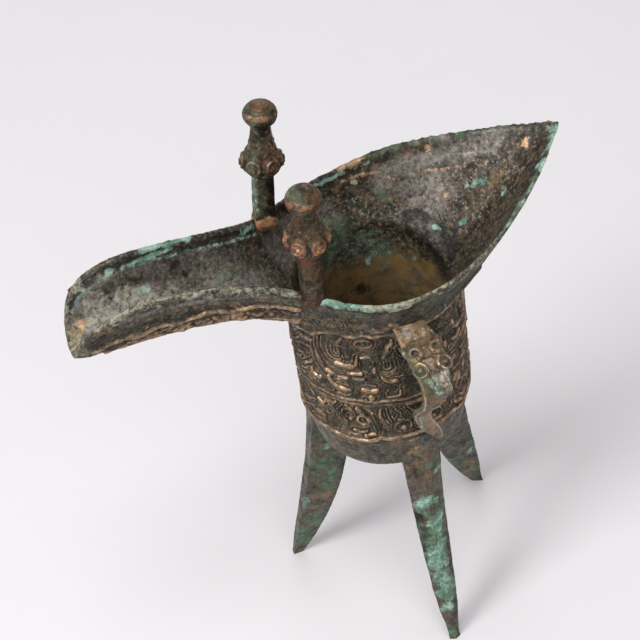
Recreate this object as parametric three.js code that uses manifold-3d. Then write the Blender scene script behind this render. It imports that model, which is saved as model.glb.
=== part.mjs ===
// A bronze jue: a footed wine vessel with a round-bottomed cup, a long trough spout, a pointed tail,
// three dagger legs, two capped posts on the rim and a loop handle with an ox head.
// Millimetres, +Z up. While it is built the cup's axis is the Z axis and the spout points along -X.
// At the end the vessel is moved so that the middle of its footprint is the origin.
import * as THREE from "three";
import { mergeVertices } from "three/addons/utils/BufferGeometryUtils.js";
import Module from "manifold-3d";

const wasm = await Module();
wasm.setup();

// Gap left between a casting and the neighbour that it is seated on
const SEAT_GAP = 0.3;
// How far cutters run past what they cut
const PAST = 8;

// Cup
const CUP_BOTTOM = 78.7; // lowest point of the round bottom, above the ground
const BOTTOM_HEIGHT = 11.3; // from there up to where the round bottom meets the wall
const BOTTOM_RADIUS = 27.4; // at that height
const BOTTOM_POWER = 2.7; // how square the bottom's section is: 2 is an ellipse
const CUP_RADIUS = 29.4;
const CUP_TAPER_TOP = 101; // the wall leans out from the bottom up to here, then stands upright
const CUP_WALL = 3;
const CUP_TOP = 160; // the upright wall runs on inside the flared mouth up to here
const CUP_SIDES = 42;
const BORE_SIDES = 32;
const BOTTOM_STEPS = 8;
const LOW_BORDER = 103; // height of the raised line under the lower ornament band
const MIDDLE_BORDER = 121; // between the two bands
const BORDER_HEIGHT = 0.7; // how far a raised line stands out
const BORDER_HALF_WIDTH = 1.2;

// Cast ornament on the cup, given for the quarter from the handle's line round to the spout and
// repeated in all four. Places are distance along the wall from the handle's line, and height
const RELIEF_HEIGHT = 0.8;
const RELIEF_SUNK = 1.2; // how deep its base lies in the wall
const RIDGE_HALF_WIDTH = 1.5; // at its base, narrowing to an edge
const STUD_SIDES = 6;
const STUD_TOP_SHARE = 0.6; // width of a stud's top, as a share of its base
const QUARTER = (Math.PI / 2) * (CUP_RADIUS + BORDER_HEIGHT / 2);
// Scalloped line over the upper band, which runs a little past the quarter to meet the next
const SCALLOP = [
  [-1.1, 154.1],
  [7, 153.4],
  [14, 155],
  [24, 154],
  [31, 151.2],
  [37, 148.6],
  [42, 146],
  [QUARTER + 1.3, 143.4],
];
// Nested horns of the mask: two radii of each arc, and where it starts and ends in degrees
const HORNS_CENTRE = [22.5, 147];
const HORNS = [
  [4.2, 4.7, 30, -112],
  [7.6, 8.8, 12, -108],
  [10.8, 13.2, 4, -102],
  [13.9, 17.7, -14, -78],
];
const HORN_STEPS = 5;
// Short bars of the mask's jaw, and the lines that part the lower band
const BARS = [
  [[11.6, 128.4], [5.6, 128.6]],
  [[44.6, 130.2], [36.8, 124.6]],
  [[32.6, 118], [30.4, 105]],
  [[16, 118], [12.2, 104.8]],
];
// Studs: centre and radius
const STUDS = [
  [[15.2, 150.2], 2.6],
  [[9.3, 146.4], 2.6],
  [[13.2, 137.6], 1.7],
  [[40.6, 140.2], 3],
  [[24, 111.8], 2],
  [[5.7, 109], 2.8],
  [[43.6, 109.4], 2.8],
];
// Rings: centre, radius and half width of the ring
const WHORLS = [[[24, 111.8], 5.4, 1]];

// Mouth, spout and tail
const LIP_X = -103; // tip of the pouring lip
const TAIL_X = 71; // tip of the tail
const MOUTH_WALL = 2.8;
const SEAM_CLEAR = 0.6; // the spout's and tail's seams lie this far outside the cup's relief
const RIM_REBATE_DEPTH = 4.5; // the inside of the rim is thinned down to this depth
const RIM_REBATE = 0.7; // by this much
// Rim seen from the side: distance along the vessel and height
const RIM_SIDE = [
  [LIP_X, 166],
  [-101.2, 174],
  [-97.5, 180.7],
  [-91, 185.3],
  [-81, 187.4],
  [-66, 186],
  [-50, 182.2],
  [-37, 178],
  [-25, 173.4],
  [-8, 170.2],
  [6, 170.8],
  [24, 174],
  [43, 178.4],
  [58, 183],
  [TAIL_X, 188],
];
// Full wall height along the spout, before the lip is cut back
const WALL_TOP = [[LIP_X - PAST, 187.4], ...RIM_SIDE.filter(([x]) => x > -90), [TAIL_X + 2, 189]];
// Half width of the rim seen from above
const RIM_HALF = [
  [LIP_X - PAST, 8],
  [LIP_X, 9.5],
  [-97, 12.6],
  [-88, 13.4],
  [-66, 14.1],
  [-50, 15.6],
  [-38, 18],
  [-31, 21],
  [-25, 25],
  [-16, 30.6],
  [-6, 34.7],
  [6, 36.3],
  [16, 35.7],
  [27, 32.6],
  [40, 26],
  [54, 16.6],
  [64, 8],
  [TAIL_X, 1.2],
];
// Lowest line of the mouth along the vessel, on the outside
const KEEL = [
  [LIP_X - PAST, 165.8],
  [LIP_X, 166],
  [-88, 167.6],
  [-70, 166],
  [-52, 162.5],
  [-36, 156.5],
  [-20, 145],
  [0, 134],
  [20, 138],
  [34, 149],
  [50, 166],
  [62, 178.5],
  [TAIL_X, 186.8],
];
// How square the trough's section is: 2 is an ellipse
const SECTION_POWER = [
  [LIP_X, 2.5],
  [-30, 2.5],
  [0, 2.2],
  [25, 1.62],
  [45, 1.38],
  [TAIL_X, 1.4],
];
// How much the section leans in from the rim to the keel
const SECTION_LEAN = [
  [LIP_X, 0.05],
  [-40, 0.06],
  [0, 0.17],
  [30, 0.25],
  [TAIL_X, 0.25],
];
const SECTION_POINTS = 15;
const STATIONS = 30;
const RIM_STEPS = 34;
const THINNEST_HALF = 0.35; // least half width of a section, where the mouth runs out
const SHALLOWEST = 0.5;

// Dragon scrolls under the spout: distance along the vessel, and down the wall from the rim
const SCROLLS = [
  [
    [-96, 14],
    [-90, 11.6],
    [-82, 12.8],
    [-75, 10.4],
    [-68, 11.8],
    [-60, 8.8],
    [-52, 10],
    [-44, 7.8],
    [-36, 8.6],
    [-33, 8],
  ],
  [
    [-93, 22],
    [-86, 20],
    [-78, 22.2],
    [-70, 19.4],
    [-61, 21],
    [-52, 17.8],
    [-43, 19],
    [-34, 16.8],
  ],
];
const SCROLL_STEPS = 10;
const SCROLL_STUD_RADIUS = 2.3;
const SCROLL_STUDS = [
  [-84, 16.6],
  [-72.5, 15.4],
  [-61, 14.8],
  [-50, 14],
  [-40, 13],
];
const GIRTH_SHARE = 0.86; // length down a trough's wall, as a share of its half width and depth

// Legs: section sizes along the leg, from the ground up
// Angle round the cup, sideways offset at the root and at the foot, how much broader than the
// common leg this one is, the width of its foot, how much further out its foot stands, and how
// much fuller its outer edge is at half height
const LEGS = {
  leg_front: { angle: -92.5, root: 1.7, foot: 0.8, broad: 1.03, footWidth: 4.6, splay: 0, bow: 0 },
  leg_spout_side: { angle: 152, root: 0, foot: 0, broad: 1, footWidth: 4.4, splay: 0, bow: 1.3 },
  leg_tail_side: { angle: 28, root: -3.2, foot: 0, broad: 1.42, footWidth: 9, splay: 1.5, bow: 1.6 },
};
const FOOT_OUT = 16.8; // how far the foot's outer edge stands out from the cup's wall
// Height, and how far the leg's outer edge stands out from the cup's wall there
const LEG_OUTER = [
  [0, FOOT_OUT],
  [12.5, 14.1],
  [35, 8.6],
  [61, 3.3],
  [82, 0.9],
  [100, 0.5],
];
const LEG_DEPTH = [
  [0, 4.6],
  [11, 8.4],
  [28, 12],
  [44, 14],
  [60, 15],
  [100, 17],
];
const LEG_WIDTH = [
  [12, 7.4],
  [25, 9.4],
  [50, 11.7],
  [75, 13.6],
  [88, 15],
  [100, 13],
];
const LEG_RINGS = 12;
const LEG_RIDGE = 0.22; // height of the outer face's ridge, as a share of the leg's width
const LEG_INNER_SHARE = 0.22; // width of the inner edge, as a share of the outer face
const LEG_CHAMFER = 0.45; // how far the leg's edges are cut back

// Posts
const POST_X = 2 - CUP_RADIUS; // just inside the root of the spout
const POST_INSET = 2.6; // from the outer edge of the rim to the post's middle
const POST_WIDTH = 6.9;
const POST_DEPTH = 6.2;
const POST_CHAMFER = 1.7;
const POST_STRADDLE = 3.6; // how far the post's foot reaches down over the rim
const POST_TOE = 2.5; // height above the rim where the thicker foot ends
// Thickness of the post as a share of its size, at its lowest point, below the rim, at the rim,
// above the foot and at the cap
const POST_SWELL = [0.9, 1.12, 1.1, 1, 0.96];
const CAP_SEAT = 190; // height of the top of the shaft, where the cap sits
const CAP_PIN_RADIUS = 2; // tenon on the shaft's top, inside the cap
const CAP_PIN_LENGTH = 6;
const PIN_CLEARANCE = 0.3;
const PIN_SIDES = 16;
// The cap's bell and neck: height above the seat and radius
const CAP_NECK_RADIUS = 3.6;
const CAP_BELL = [
  [0, 4.4],
  [1.1, 5.6],
  [2.7, 6.4],
  [4.4, 6.6],
  [6.5, 6.2],
  [8.8, 5.4],
  [12, 4.7],
  [15.6, 3.9],
  [18.5, CAP_NECK_RADIUS],
];
const CAP_SIDES = 18;
const KNOB_RADIUS = 5.6;
const KNOB_Z = 24.5; // centre of the knob above the seat
const KNOB_HALF_HEIGHT = 4.5;
const KNOB_FLAT_RADIUS = 3.3;
const KNOB_STEPS = 6;
const VOLUTES = 6;
const DISC_SIDES = 7; // of a volute and of an eye's pearl
const DISC_STEPS = 4;
const VOLUTE_TURN = 13.7; // degrees from the vessel's length to the first pair's middle
const VOLUTE_RADIUS = 2.35;
const VOLUTE_THICK = 1.1;
const VOLUTE_Z = 8; // above the seat
const VOLUTE_OUT = 5.2; // from the cap's axis
const VOLUTE_TILT = 30; // degrees that a volute faces up
const LEAN_NEAR = [1.2, -2.3]; // how far the top of each post leans, along X and Y
const LEAN_FAR = [5.1, 1.2];
const LEAN_HEIGHT = 41;

// Handle: centre line of the strap as distance out from the cup's wall, height and angle round
// the cup. It starts and ends inside the wall, where it is cut off
const STRAP_LINE = [
  [-2.9, 159, -91],
  [3.6, 154.5, -91],
  [10.6, 148, -90],
  [16.1, 141.5, -89.5],
  [16.1, 133, -90.5],
  [11.1, 125, -92],
  [6.1, 114, -90.5],
  [2.1, 103, -84.5],
  [-1.9, 96.5, -80],
];
const STRAP_WIDTH_TOP = 11;
const STRAP_WIDTH_LOW = 5.4;
const STRAP_THICK = 3;
const STRAP_RINGS = 20;
const STRAP_CHAMFER = 0.8;
const STRAP_NARROWS = [0.1, 0.7]; // share of its length over which it narrows

// Ox head on the handle
const HEAD_BASE = [6.1, 152.6]; // back of the head: distance out from the cup's wall and height
const HEAD_LENGTH = 21;
const HEAD_SUNK = 1.5; // how far the head's underside lies in the strap's plane
const MUZZLE_HALF_WIDTH = 3;
const MUZZLE_HEIGHT = 3.8;
// Half width and height of the head along its length
const HEAD_HALF_WIDTH = [
  [0, 5.2],
  [4, 5.8],
  [9.5, 6.4],
  [13, 5.2],
  [17, 3.6],
  [HEAD_LENGTH, MUZZLE_HALF_WIDTH],
];
const HEAD_HEIGHT = [
  [0, 3.2],
  [4, 4.6],
  [9, 5],
  [13, 5],
  [19, 5.2],
  [HEAD_LENGTH, MUZZLE_HEIGHT],
];
const HEAD_SQUARE = 0.8; // below 1 the head's section is squarer than an ellipse
const HEAD_RINGS = 11;
const HEAD_SIDES = 14;
const HEAD_TILT = -20; // degrees below level
const HEAD_ANGLE = -90; // round the cup
const HORN_RADIUS = 1.5;
const HORN_CURL = 2.2;
const HORN_X = 5.4; // centre of the horn's curl, from the back of the head
const HORN_Y = 3.9; // from the head's middle
const HORN_Z = 4; // height off the strap
const HORN_SWEEP = 4.7; // how far it curls, in radians
const HORN_DROP = 1.2; // how far its tip lies below its root
const HORN_TAPER = 0.55; // radius of its tip, as a share of its root
const HORN_BENDS = 6; // points of its curl
const HORN_RINGS = 9;
const HORN_SIDES = 6;
const EYE_RADIUS = 2.3;
const EYE_RING = 0.55; // radius of the ring's own section
const EYE_TILT = 0.5; // how far the eyes face outwards, in radians
const EYE_X = 11.2; // from the back of the head
const EYE_Y = 4.3; // from its middle
const EYE_Z = 2.6;
const PEARL_RADIUS = 1.15;
const RING_SIDES = 4;
const RING_STEPS = 11;

// A smooth curve through points whose first numbers rise, read at any place along them
function smoothThrough(points) {
  const slope = points.map((p, i) => {
    const a = points[Math.max(0, i - 1)];
    const b = points[Math.min(points.length - 1, i + 1)];
    return (b[1] - a[1]) / (b[0] - a[0]);
  });
  return (x) => {
    let i = 0;
    while (i < points.length - 2 && x > points[i + 1][0]) i++;
    const [x0, y0] = points[i];
    const [x1, y1] = points[i + 1];
    const span = x1 - x0;
    const t = THREE.MathUtils.clamp((x - x0) / span, 0, 1);
    const a = 2 * t ** 3 - 3 * t ** 2 + 1;
    const b = t ** 3 - 2 * t ** 2 + t;
    return a * y0 + b * span * slope[i] + (1 - a) * y1 + (t ** 3 - t ** 2) * span * slope[i + 1];
  };
}

const wallTop = smoothThrough(WALL_TOP);
const rimHalf = smoothThrough(RIM_HALF);
const keel = smoothThrough(KEEL);
const sectionPower = smoothThrough(SECTION_POWER);
const sectionLean = smoothThrough(SECTION_LEAN);

function radians(degrees) {
  return THREE.MathUtils.degToRad(degrees);
}

// A point at a distance from the cup's axis, an angle round it and a height
function polar(distance, degrees, height) {
  const a = radians(degrees);
  return new THREE.Vector3(distance * Math.cos(a), distance * Math.sin(a), height);
}

// Turns a three.js geometry into a solid that can be joined and cut
function solidOf(geometry, matrix = new THREE.Matrix4()) {
  const bare = (geometry.index ? geometry.toNonIndexed() : geometry.clone()).applyMatrix4(matrix);
  bare.deleteAttribute("normal");
  bare.deleteAttribute("uv");
  const merged = mergeVertices(bare, 1e-4);
  return new wasm.Manifold(
    new wasm.Mesh({
      numProp: 3,
      vertProperties: merged.attributes.position.array,
      triVerts: new Uint32Array(merged.index.array),
    }),
  );
}

function geometryOf(solid) {
  const mesh = solid.getMesh();
  const geometry = new THREE.BufferGeometry();
  geometry.setAttribute("position", new THREE.BufferAttribute(mesh.vertProperties, 3));
  geometry.setIndex(new THREE.BufferAttribute(mesh.triVerts, 1));
  const flat = geometry.toNonIndexed();
  flat.computeVertexNormals();
  return flat;
}

// Joins rings of points, all of one count, into a closed body with a fan over each end
function loft(rings) {
  const count = rings[0].length;
  const points = rings.flat();
  const faces = [];
  for (let r = 0; r < rings.length - 1; r++) {
    for (let i = 0; i < count; i++) {
      const a = r * count + i;
      const b = r * count + ((i + 1) % count);
      faces.push(a, b, b + count, a, b + count, a + count);
    }
  }
  for (const [r, turned] of [
    [0, true],
    [rings.length - 1, false],
  ]) {
    const middle = new THREE.Vector3();
    rings[r].forEach((p) => middle.addScaledVector(p, 1 / count));
    const m = points.push(middle) - 1;
    for (let i = 0; i < count; i++) {
      const a = r * count + i;
      const b = r * count + ((i + 1) % count);
      faces.push(...(turned ? [b, a, m] : [a, b, m]));
    }
  }
  const geometry = new THREE.BufferGeometry().setFromPoints(points);
  geometry.setIndex(faces);
  return geometry;
}

// Solid of a loft, whichever way its rings run
function loftSolid(rings) {
  const solid = solidOf(loft(rings));
  return solid.volume() > 0 ? solid : solidOf(loft(rings.map((ring) => [...ring].reverse())));
}

// Half section of a round bottom, from the axis out to a radius, over a height
function roundBottom(radius, lowest, height) {
  const points = [];
  for (let i = 0; i <= BOTTOM_STEPS; i++) {
    const a = ((i / BOTTOM_STEPS) * Math.PI) / 2;
    points.push(
      new THREE.Vector2(
        radius * Math.sin(a) ** (2 / BOTTOM_POWER),
        lowest + height * (1 - Math.cos(a) ** (2 / BOTTOM_POWER)),
      ),
    );
  }
  return points;
}

// The cup with its raised lines as a turned solid, grown outwards by a distance
function cupOutside(grow) {
  const profile = roundBottom(BOTTOM_RADIUS + grow, CUP_BOTTOM - grow, BOTTOM_HEIGHT + grow);
  profile.push(new THREE.Vector2(CUP_RADIUS + grow, CUP_TAPER_TOP));
  for (const z of [LOW_BORDER, MIDDLE_BORDER]) {
    profile.push(new THREE.Vector2(CUP_RADIUS + grow, z - BORDER_HALF_WIDTH));
    profile.push(new THREE.Vector2(CUP_RADIUS + BORDER_HEIGHT + grow, z - BORDER_HALF_WIDTH / 3));
    profile.push(new THREE.Vector2(CUP_RADIUS + BORDER_HEIGHT + grow, z + BORDER_HALF_WIDTH / 3));
    profile.push(new THREE.Vector2(CUP_RADIUS + grow, z + BORDER_HALF_WIDTH));
  }
  profile.push(new THREE.Vector2(CUP_RADIUS + grow, CUP_TOP));
  profile.push(new THREE.Vector2(0, CUP_TOP));
  return turned(profile, CUP_SIDES);
}

// A lathe about the Z axis, closed where its profile meets the axis
function turned(profile, sides) {
  const lathe = new THREE.LatheGeometry(profile, sides);
  const solid = solidOf(lathe, new THREE.Matrix4().makeRotationX(Math.PI / 2));
  if (solid.volume() > 0) return solid;
  const back = new THREE.LatheGeometry([...profile].reverse(), sides);
  return solidOf(back, new THREE.Matrix4().makeRotationX(Math.PI / 2));
}

// The room inside the cup, open at the top
function cupInside(shrink) {
  const wall = CUP_WALL + shrink;
  const radius = CUP_RADIUS - wall;
  const profile = roundBottom(BOTTOM_RADIUS - wall, CUP_BOTTOM + wall, BOTTOM_HEIGHT);
  profile.push(new THREE.Vector2(radius, CUP_TAPER_TOP + CUP_WALL));
  profile.push(new THREE.Vector2(radius, CUP_TOP + PAST));
  profile.push(new THREE.Vector2(0, CUP_TOP + PAST));
  return turned(profile, BORE_SIDES);
}

// Half width and depth of the trough at a place along the vessel
function troughSize(x, grow) {
  return {
    half: Math.max(rimHalf(x) + grow, THINNEST_HALF),
    depth: Math.max(wallTop(x) - keel(x) + grow, SHALLOWEST),
  };
}

// A point on the trough's wall. turn runs from one rim over 0 at the keel to the other, in radians
function mouthPoint(x, turn, grow) {
  const { half, depth } = troughSize(x, grow);
  const power = sectionPower(x);
  const down = Math.cos(turn) ** (2 / power);
  const side = Math.abs(Math.sin(turn)) ** (2 / power) * (1 - sectionLean(x) * down);
  return new THREE.Vector3(x, half * Math.sign(turn) * side, wallTop(x) - depth * down);
}

// One section across the mouth: up one side of the trough and down the other
function mouthSection(x, grow) {
  const ring = [];
  for (let i = 0; i <= SECTION_POINTS; i++) {
    ring.push(mouthPoint(x, Math.PI * (i / SECTION_POINTS - 0.5), grow));
  }
  const { half } = troughSize(x, grow);
  ring.push(new THREE.Vector3(x, half, wallTop(x) + PAST));
  ring.push(new THREE.Vector3(x, -half, wallTop(x) + PAST));
  return ring;
}

// The boat-shaped mouth with spout and tail as one solid, its wall grown or shrunk by a distance
function mouthSolid(grow, from, to) {
  const rings = [];
  for (let i = 0; i <= STATIONS; i++) {
    rings.push(mouthSection(THREE.MathUtils.lerp(from, to, i / STATIONS), grow));
  }
  return loftSolid(rings);
}

// Where a wall of a thickness closes up inside the tail
function tailEnd(wall) {
  let x = TAIL_X;
  while (rimHalf(x) < wall + 0.4) x -= 0.25;
  return x;
}

// Everything above the rim, and in front of the lip, as one cutter
function aboveRim(raise) {
  const side = new THREE.SplineCurve(RIM_SIDE.map(([x, z]) => new THREE.Vector2(x, z + raise)));
  const sky = wallTop(TAIL_X) + 2 * CUP_RADIUS;
  const outline = [
    new THREE.Vector2(LIP_X - 3 * PAST, sky),
    new THREE.Vector2(LIP_X - 3 * PAST, KEEL[0][1] - 3 * PAST),
    new THREE.Vector2(LIP_X - raise, KEEL[0][1] - 3 * PAST),
    ...side.getPoints(RIM_STEPS),
    new THREE.Vector2(TAIL_X + 3 * PAST, wallTop(TAIL_X) + 3),
    new THREE.Vector2(TAIL_X + 3 * PAST, sky),
  ];
  const reach = 2 * CUP_RADIUS;
  const block = new THREE.ExtrudeGeometry(new THREE.Shape(outline), {
    depth: 2 * reach,
    bevelEnabled: false,
  });
  const place = new THREE.Matrix4()
    .makeRotationX(Math.PI / 2)
    .premultiply(new THREE.Matrix4().makeTranslation(0, reach, 0));
  return solidOf(block, place);
}

// Outer radius of the wall in a direction round the cup, at a height
function wallRadius(degrees, z) {
  const isOutside = (radius) => {
    const { x, y } = polar(radius, degrees, z);
    const power = sectionPower(x);
    const down = (wallTop(x) - z) / (wallTop(x) - keel(x));
    if (down >= 1) return true;
    const side = (1 - down ** power) ** (1 / power) * (1 - sectionLean(x) * down);
    return Math.abs(y) > rimHalf(x) * side;
  };
  let near = CUP_RADIUS;
  if (isOutside(near)) return near;
  let far = near + 2 * PAST;
  while (far - near > 0.001) {
    const middle = (near + far) / 2;
    if (isOutside(middle)) far = middle;
    else near = middle;
  }
  return near;
}

// Places ornament in one quarter of the cup: start is where the quarter's line stands, in degrees
function onCup(start, hand) {
  return (along, z, lift) => {
    const degrees = start + (hand * 90 * along) / QUARTER;
    return polar(wallRadius(degrees, z) + lift, degrees, z);
  };
}

// Places ornament on one side of the spout, by distance along it and down its wall
function onSpout(hand) {
  return (x, drop, lift) => {
    const { half, depth } = troughSize(x, 0);
    const share = Math.min(drop / ((half + depth) * GIRTH_SHARE), 1);
    return mouthPoint(x, (hand * Math.PI * (1 - share)) / 2, lift);
  };
}

// A low ridge along a line on the wall
function ridge(line, grow, place) {
  const rings = line.map(([along, up], i) => {
    const [a, b] = line[Math.max(0, i - 1)];
    const [c, d] = line[Math.min(line.length - 1, i + 1)];
    const length = Math.hypot(c - a, d - b);
    const at = (half, lift) =>
      place(along - (half * (d - b)) / length, up + (half * (c - a)) / length, lift);
    const base = RIDGE_HALF_WIDTH + grow;
    return [at(-base, -RELIEF_SUNK), at(base, -RELIEF_SUNK), at(0, RELIEF_HEIGHT + grow)];
  });
  return loftSolid(rings);
}

// Points round a place on the wall
function circleOn([along, up], radius, lift, place) {
  const points = [];
  for (let i = 0; i < STUD_SIDES; i++) {
    const a = (i * 2 * Math.PI) / STUD_SIDES;
    points.push(place(along + radius * Math.cos(a), up + radius * Math.sin(a), lift));
  }
  return points;
}

// A flat stud on the wall
function stud(centre, radius, grow, place) {
  const base = circleOn(centre, radius + grow, -RELIEF_SUNK, place);
  const top = circleOn(centre, radius * STUD_TOP_SHARE + grow, RELIEF_HEIGHT + grow, place);
  return loftSolid([base, top]);
}

// A raised ring on the wall
function whorl(centre, radius, half, grow, place) {
  const ring = stud(centre, radius + half, grow, place);
  const room = radius - half - grow;
  const hollow = [-RELIEF_SUNK - 1, PAST].map((lift) => circleOn(centre, room, lift, place));
  return ring.subtract(loftSolid(hollow));
}

function arcLine([along, up], [radius, height, from, to]) {
  const line = [];
  for (let i = 0; i <= HORN_STEPS; i++) {
    const a = radians(THREE.MathUtils.lerp(from, to, i / HORN_STEPS));
    line.push([along + radius * Math.cos(a), up + height * Math.sin(a)]);
  }
  return line;
}

// The main forms of the cast ornament, grown by a distance
function ornament(grow) {
  const forms = [];
  for (const start of [-90, 90]) {
    for (const hand of [-1, 1]) {
      const place = onCup(start, hand);
      const lines = [SCALLOP, ...BARS, ...HORNS.map((horn) => arcLine(HORNS_CENTRE, horn))];
      forms.push(...lines.map((line) => ridge(line, grow, place)));
      forms.push(...STUDS.map(([centre, radius]) => stud(centre, radius, grow, place)));
      forms.push(...WHORLS.map(([centre, radius, half]) => whorl(centre, radius, half, grow, place)));
    }
  }
  for (const hand of [-1, 1]) {
    const place = onSpout(hand);
    for (const scroll of SCROLLS) {
      const curve = new THREE.SplineCurve(scroll.map(([x, drop]) => new THREE.Vector2(x, drop)));
      const line = curve.getPoints(SCROLL_STEPS).map((p) => [p.x, p.y]);
      forms.push(ridge(line, grow, place));
    }
    forms.push(...SCROLL_STUDS.map((centre) => stud(centre, SCROLL_STUD_RADIUS, grow, place)));
  }
  return forms.reduce((whole, form) => whole.add(form));
}

// The whole hollow body. grow thickens every wall, to make room round it for a seated casting
function vesselShell(grow) {
  const plain = cupOutside(grow).add(mouthSolid(grow, LIP_X - 1, TAIL_X));
  const outside = plain.add(ornament(grow));
  const wall = MOUTH_WALL + grow;
  const inside = cupInside(grow).add(mouthSolid(-wall, LIP_X - PAST, tailEnd(wall)));
  return outside.subtract(inside).subtract(aboveRim(grow));
}

// Thins the inside of the rim, which leaves the step that runs all round the mouth
function rimRebate() {
  const wall = MOUTH_WALL - RIM_REBATE;
  return mouthSolid(-wall, LIP_X - PAST, tailEnd(wall)).intersect(aboveRim(-RIM_REBATE_DEPTH));
}

// Everything between two places along the vessel
function slab(fromX, toX) {
  const reach = 2 * (TAIL_X - LIP_X);
  const box = new THREE.BoxGeometry(toX - fromX, reach, reach);
  return solidOf(box, new THREE.Matrix4().makeTranslation((fromX + toX) / 2, 0, CUP_TOP));
}

// A section with chamfered corners from its corner points, each cut back by a distance
function chamfered(corners, back) {
  return corners.flatMap((corner, i) => {
    const before = corners[(i + corners.length - 1) % corners.length];
    const after = corners[(i + 1) % corners.length];
    return [before, after].map((next) => corner.clone().add(next.clone().sub(corner).setLength(back)));
  });
}

// A dagger leg: a broad ridged outer face that narrows and curves out to a small flat foot
function leg({ angle, root, foot, broad, footWidth, splay, bow }) {
  const outer = smoothThrough(LEG_OUTER);
  const depth = smoothThrough(LEG_DEPTH);
  const width = smoothThrough([[0, footWidth], ...LEG_WIDTH.map(([z, w]) => [z, w * broad])]);
  const top = LEG_OUTER[LEG_OUTER.length - 1][0];
  const rings = [];
  for (let i = 0; i <= LEG_RINGS; i++) {
    const z = (top * i) / LEG_RINGS;
    const fuller = bow * Math.sin((Math.PI * z) / top);
    const out = CUP_RADIUS + outer(z) + splay * (1 - z / top) + fuller;
    const back = out - depth(z) - fuller;
    const half = width(z) / 2;
    const ridge = LEG_RIDGE * width(z);
    const inner = half * LEG_INNER_SHARE;
    const side = THREE.MathUtils.lerp(foot, root, z / top);
    const corners = [
      new THREE.Vector3(out, side, z),
      new THREE.Vector3(out - ridge, side + half, z),
      new THREE.Vector3(back, side + inner, z),
      new THREE.Vector3(back, side - inner, z),
      new THREE.Vector3(out - ridge, side - half, z),
    ];
    rings.push(chamfered(corners, LEG_CHAMFER));
  }
  const turn = new THREE.Matrix4().makeRotationZ(radians(angle));
  return loftSolid(rings.map((ring) => ring.map((p) => p.applyMatrix4(turn))));
}

// Places a post upright at the rim, with its own small lean
function postPlace(sign, lean) {
  const up = new THREE.Vector3(lean[0] / LEAN_HEIGHT, lean[1] / LEAN_HEIGHT, 1).normalize();
  const turn = new THREE.Matrix4().makeRotationFromQuaternion(
    new THREE.Quaternion().setFromUnitVectors(new THREE.Vector3(0, 0, 1), up),
  );
  const foot = new THREE.Vector3(POST_X, sign * (rimHalf(POST_X) - POST_INSET), wallTop(POST_X));
  return turn.premultiply(new THREE.Matrix4().makeTranslation(foot.x, foot.y, foot.z));
}

// Post shaft in its own frame, with its foot on the rim at height 0 and a tenon for the cap
function postShaft() {
  const shaftTop = CAP_SEAT - wallTop(POST_X);
  const halfX = POST_WIDTH / 2;
  const halfY = POST_DEPTH / 2;
  const rings = [-POST_STRADDLE, -POST_STRADDLE / 2, 0, POST_TOE, shaftTop].map((z, i) => {
    const swell = POST_SWELL[i];
    const corners = [
      new THREE.Vector3(-halfX * swell, -halfY * swell, z),
      new THREE.Vector3(halfX * swell, -halfY * swell, z),
      new THREE.Vector3(halfX * swell, halfY * swell, z),
      new THREE.Vector3(-halfX * swell, halfY * swell, z),
    ];
    return chamfered(corners, POST_CHAMFER);
  });
  const pin = new THREE.CylinderGeometry(CAP_PIN_RADIUS, CAP_PIN_RADIUS, CAP_PIN_LENGTH + 1, PIN_SIDES);
  const stand = new THREE.Matrix4()
    .makeRotationX(Math.PI / 2)
    .premultiply(new THREE.Matrix4().makeTranslation(0, 0, shaftTop + (CAP_PIN_LENGTH - 1) / 2));
  return loftSolid(rings).add(solidOf(pin, stand));
}

// Post cap in the same frame: a bell with volutes on its shoulder, a neck and a flattened knob
function postCap() {
  const seat = CAP_SEAT - wallTop(POST_X) + SEAT_GAP;
  const profile = [new THREE.Vector2(0, seat)];
  for (const [z, radius] of CAP_BELL) profile.push(new THREE.Vector2(radius, seat + z));
  const start = Math.asin(CAP_NECK_RADIUS / KNOB_RADIUS);
  const end = Math.PI - Math.asin(KNOB_FLAT_RADIUS / KNOB_RADIUS);
  for (let i = 0; i <= KNOB_STEPS; i++) {
    const a = THREE.MathUtils.lerp(start, end, i / KNOB_STEPS);
    const height = KNOB_Z - KNOB_HALF_HEIGHT * Math.cos(a);
    profile.push(new THREE.Vector2(KNOB_RADIUS * Math.sin(a), seat + height));
  }
  profile.push(new THREE.Vector2(0, profile[profile.length - 1].y));
  let cap = turned(profile, CAP_SIDES);
  for (let i = 0; i < VOLUTES; i++) {
    const disc = new THREE.SphereGeometry(VOLUTE_RADIUS, DISC_SIDES, DISC_STEPS);
    const angle = VOLUTE_TURN + ((i + 0.5) * 360) / VOLUTES;
    const place = new THREE.Matrix4()
      .makeScale(VOLUTE_THICK / VOLUTE_RADIUS, 1, 1)
      .premultiply(new THREE.Matrix4().makeRotationY(radians(-VOLUTE_TILT)))
      .premultiply(new THREE.Matrix4().makeTranslation(VOLUTE_OUT, 0, seat + VOLUTE_Z))
      .premultiply(new THREE.Matrix4().makeRotationZ(radians(angle)));
    cap = cap.add(solidOf(disc, place));
  }
  const radius = CAP_PIN_RADIUS + PIN_CLEARANCE;
  const length = CAP_PIN_LENGTH + 1 + SEAT_GAP;
  const socket = new THREE.CylinderGeometry(radius, radius, length, PIN_SIDES);
  const stand = new THREE.Matrix4()
    .makeRotationX(Math.PI / 2)
    .premultiply(new THREE.Matrix4().makeTranslation(0, 0, seat - 1 + length / 2));
  return cap.subtract(solidOf(socket, stand));
}

const strapCurve = new THREE.CatmullRomCurve3(
  STRAP_LINE.map(([out, z, degrees]) => polar(CUP_RADIUS + out, degrees, z)),
);

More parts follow.
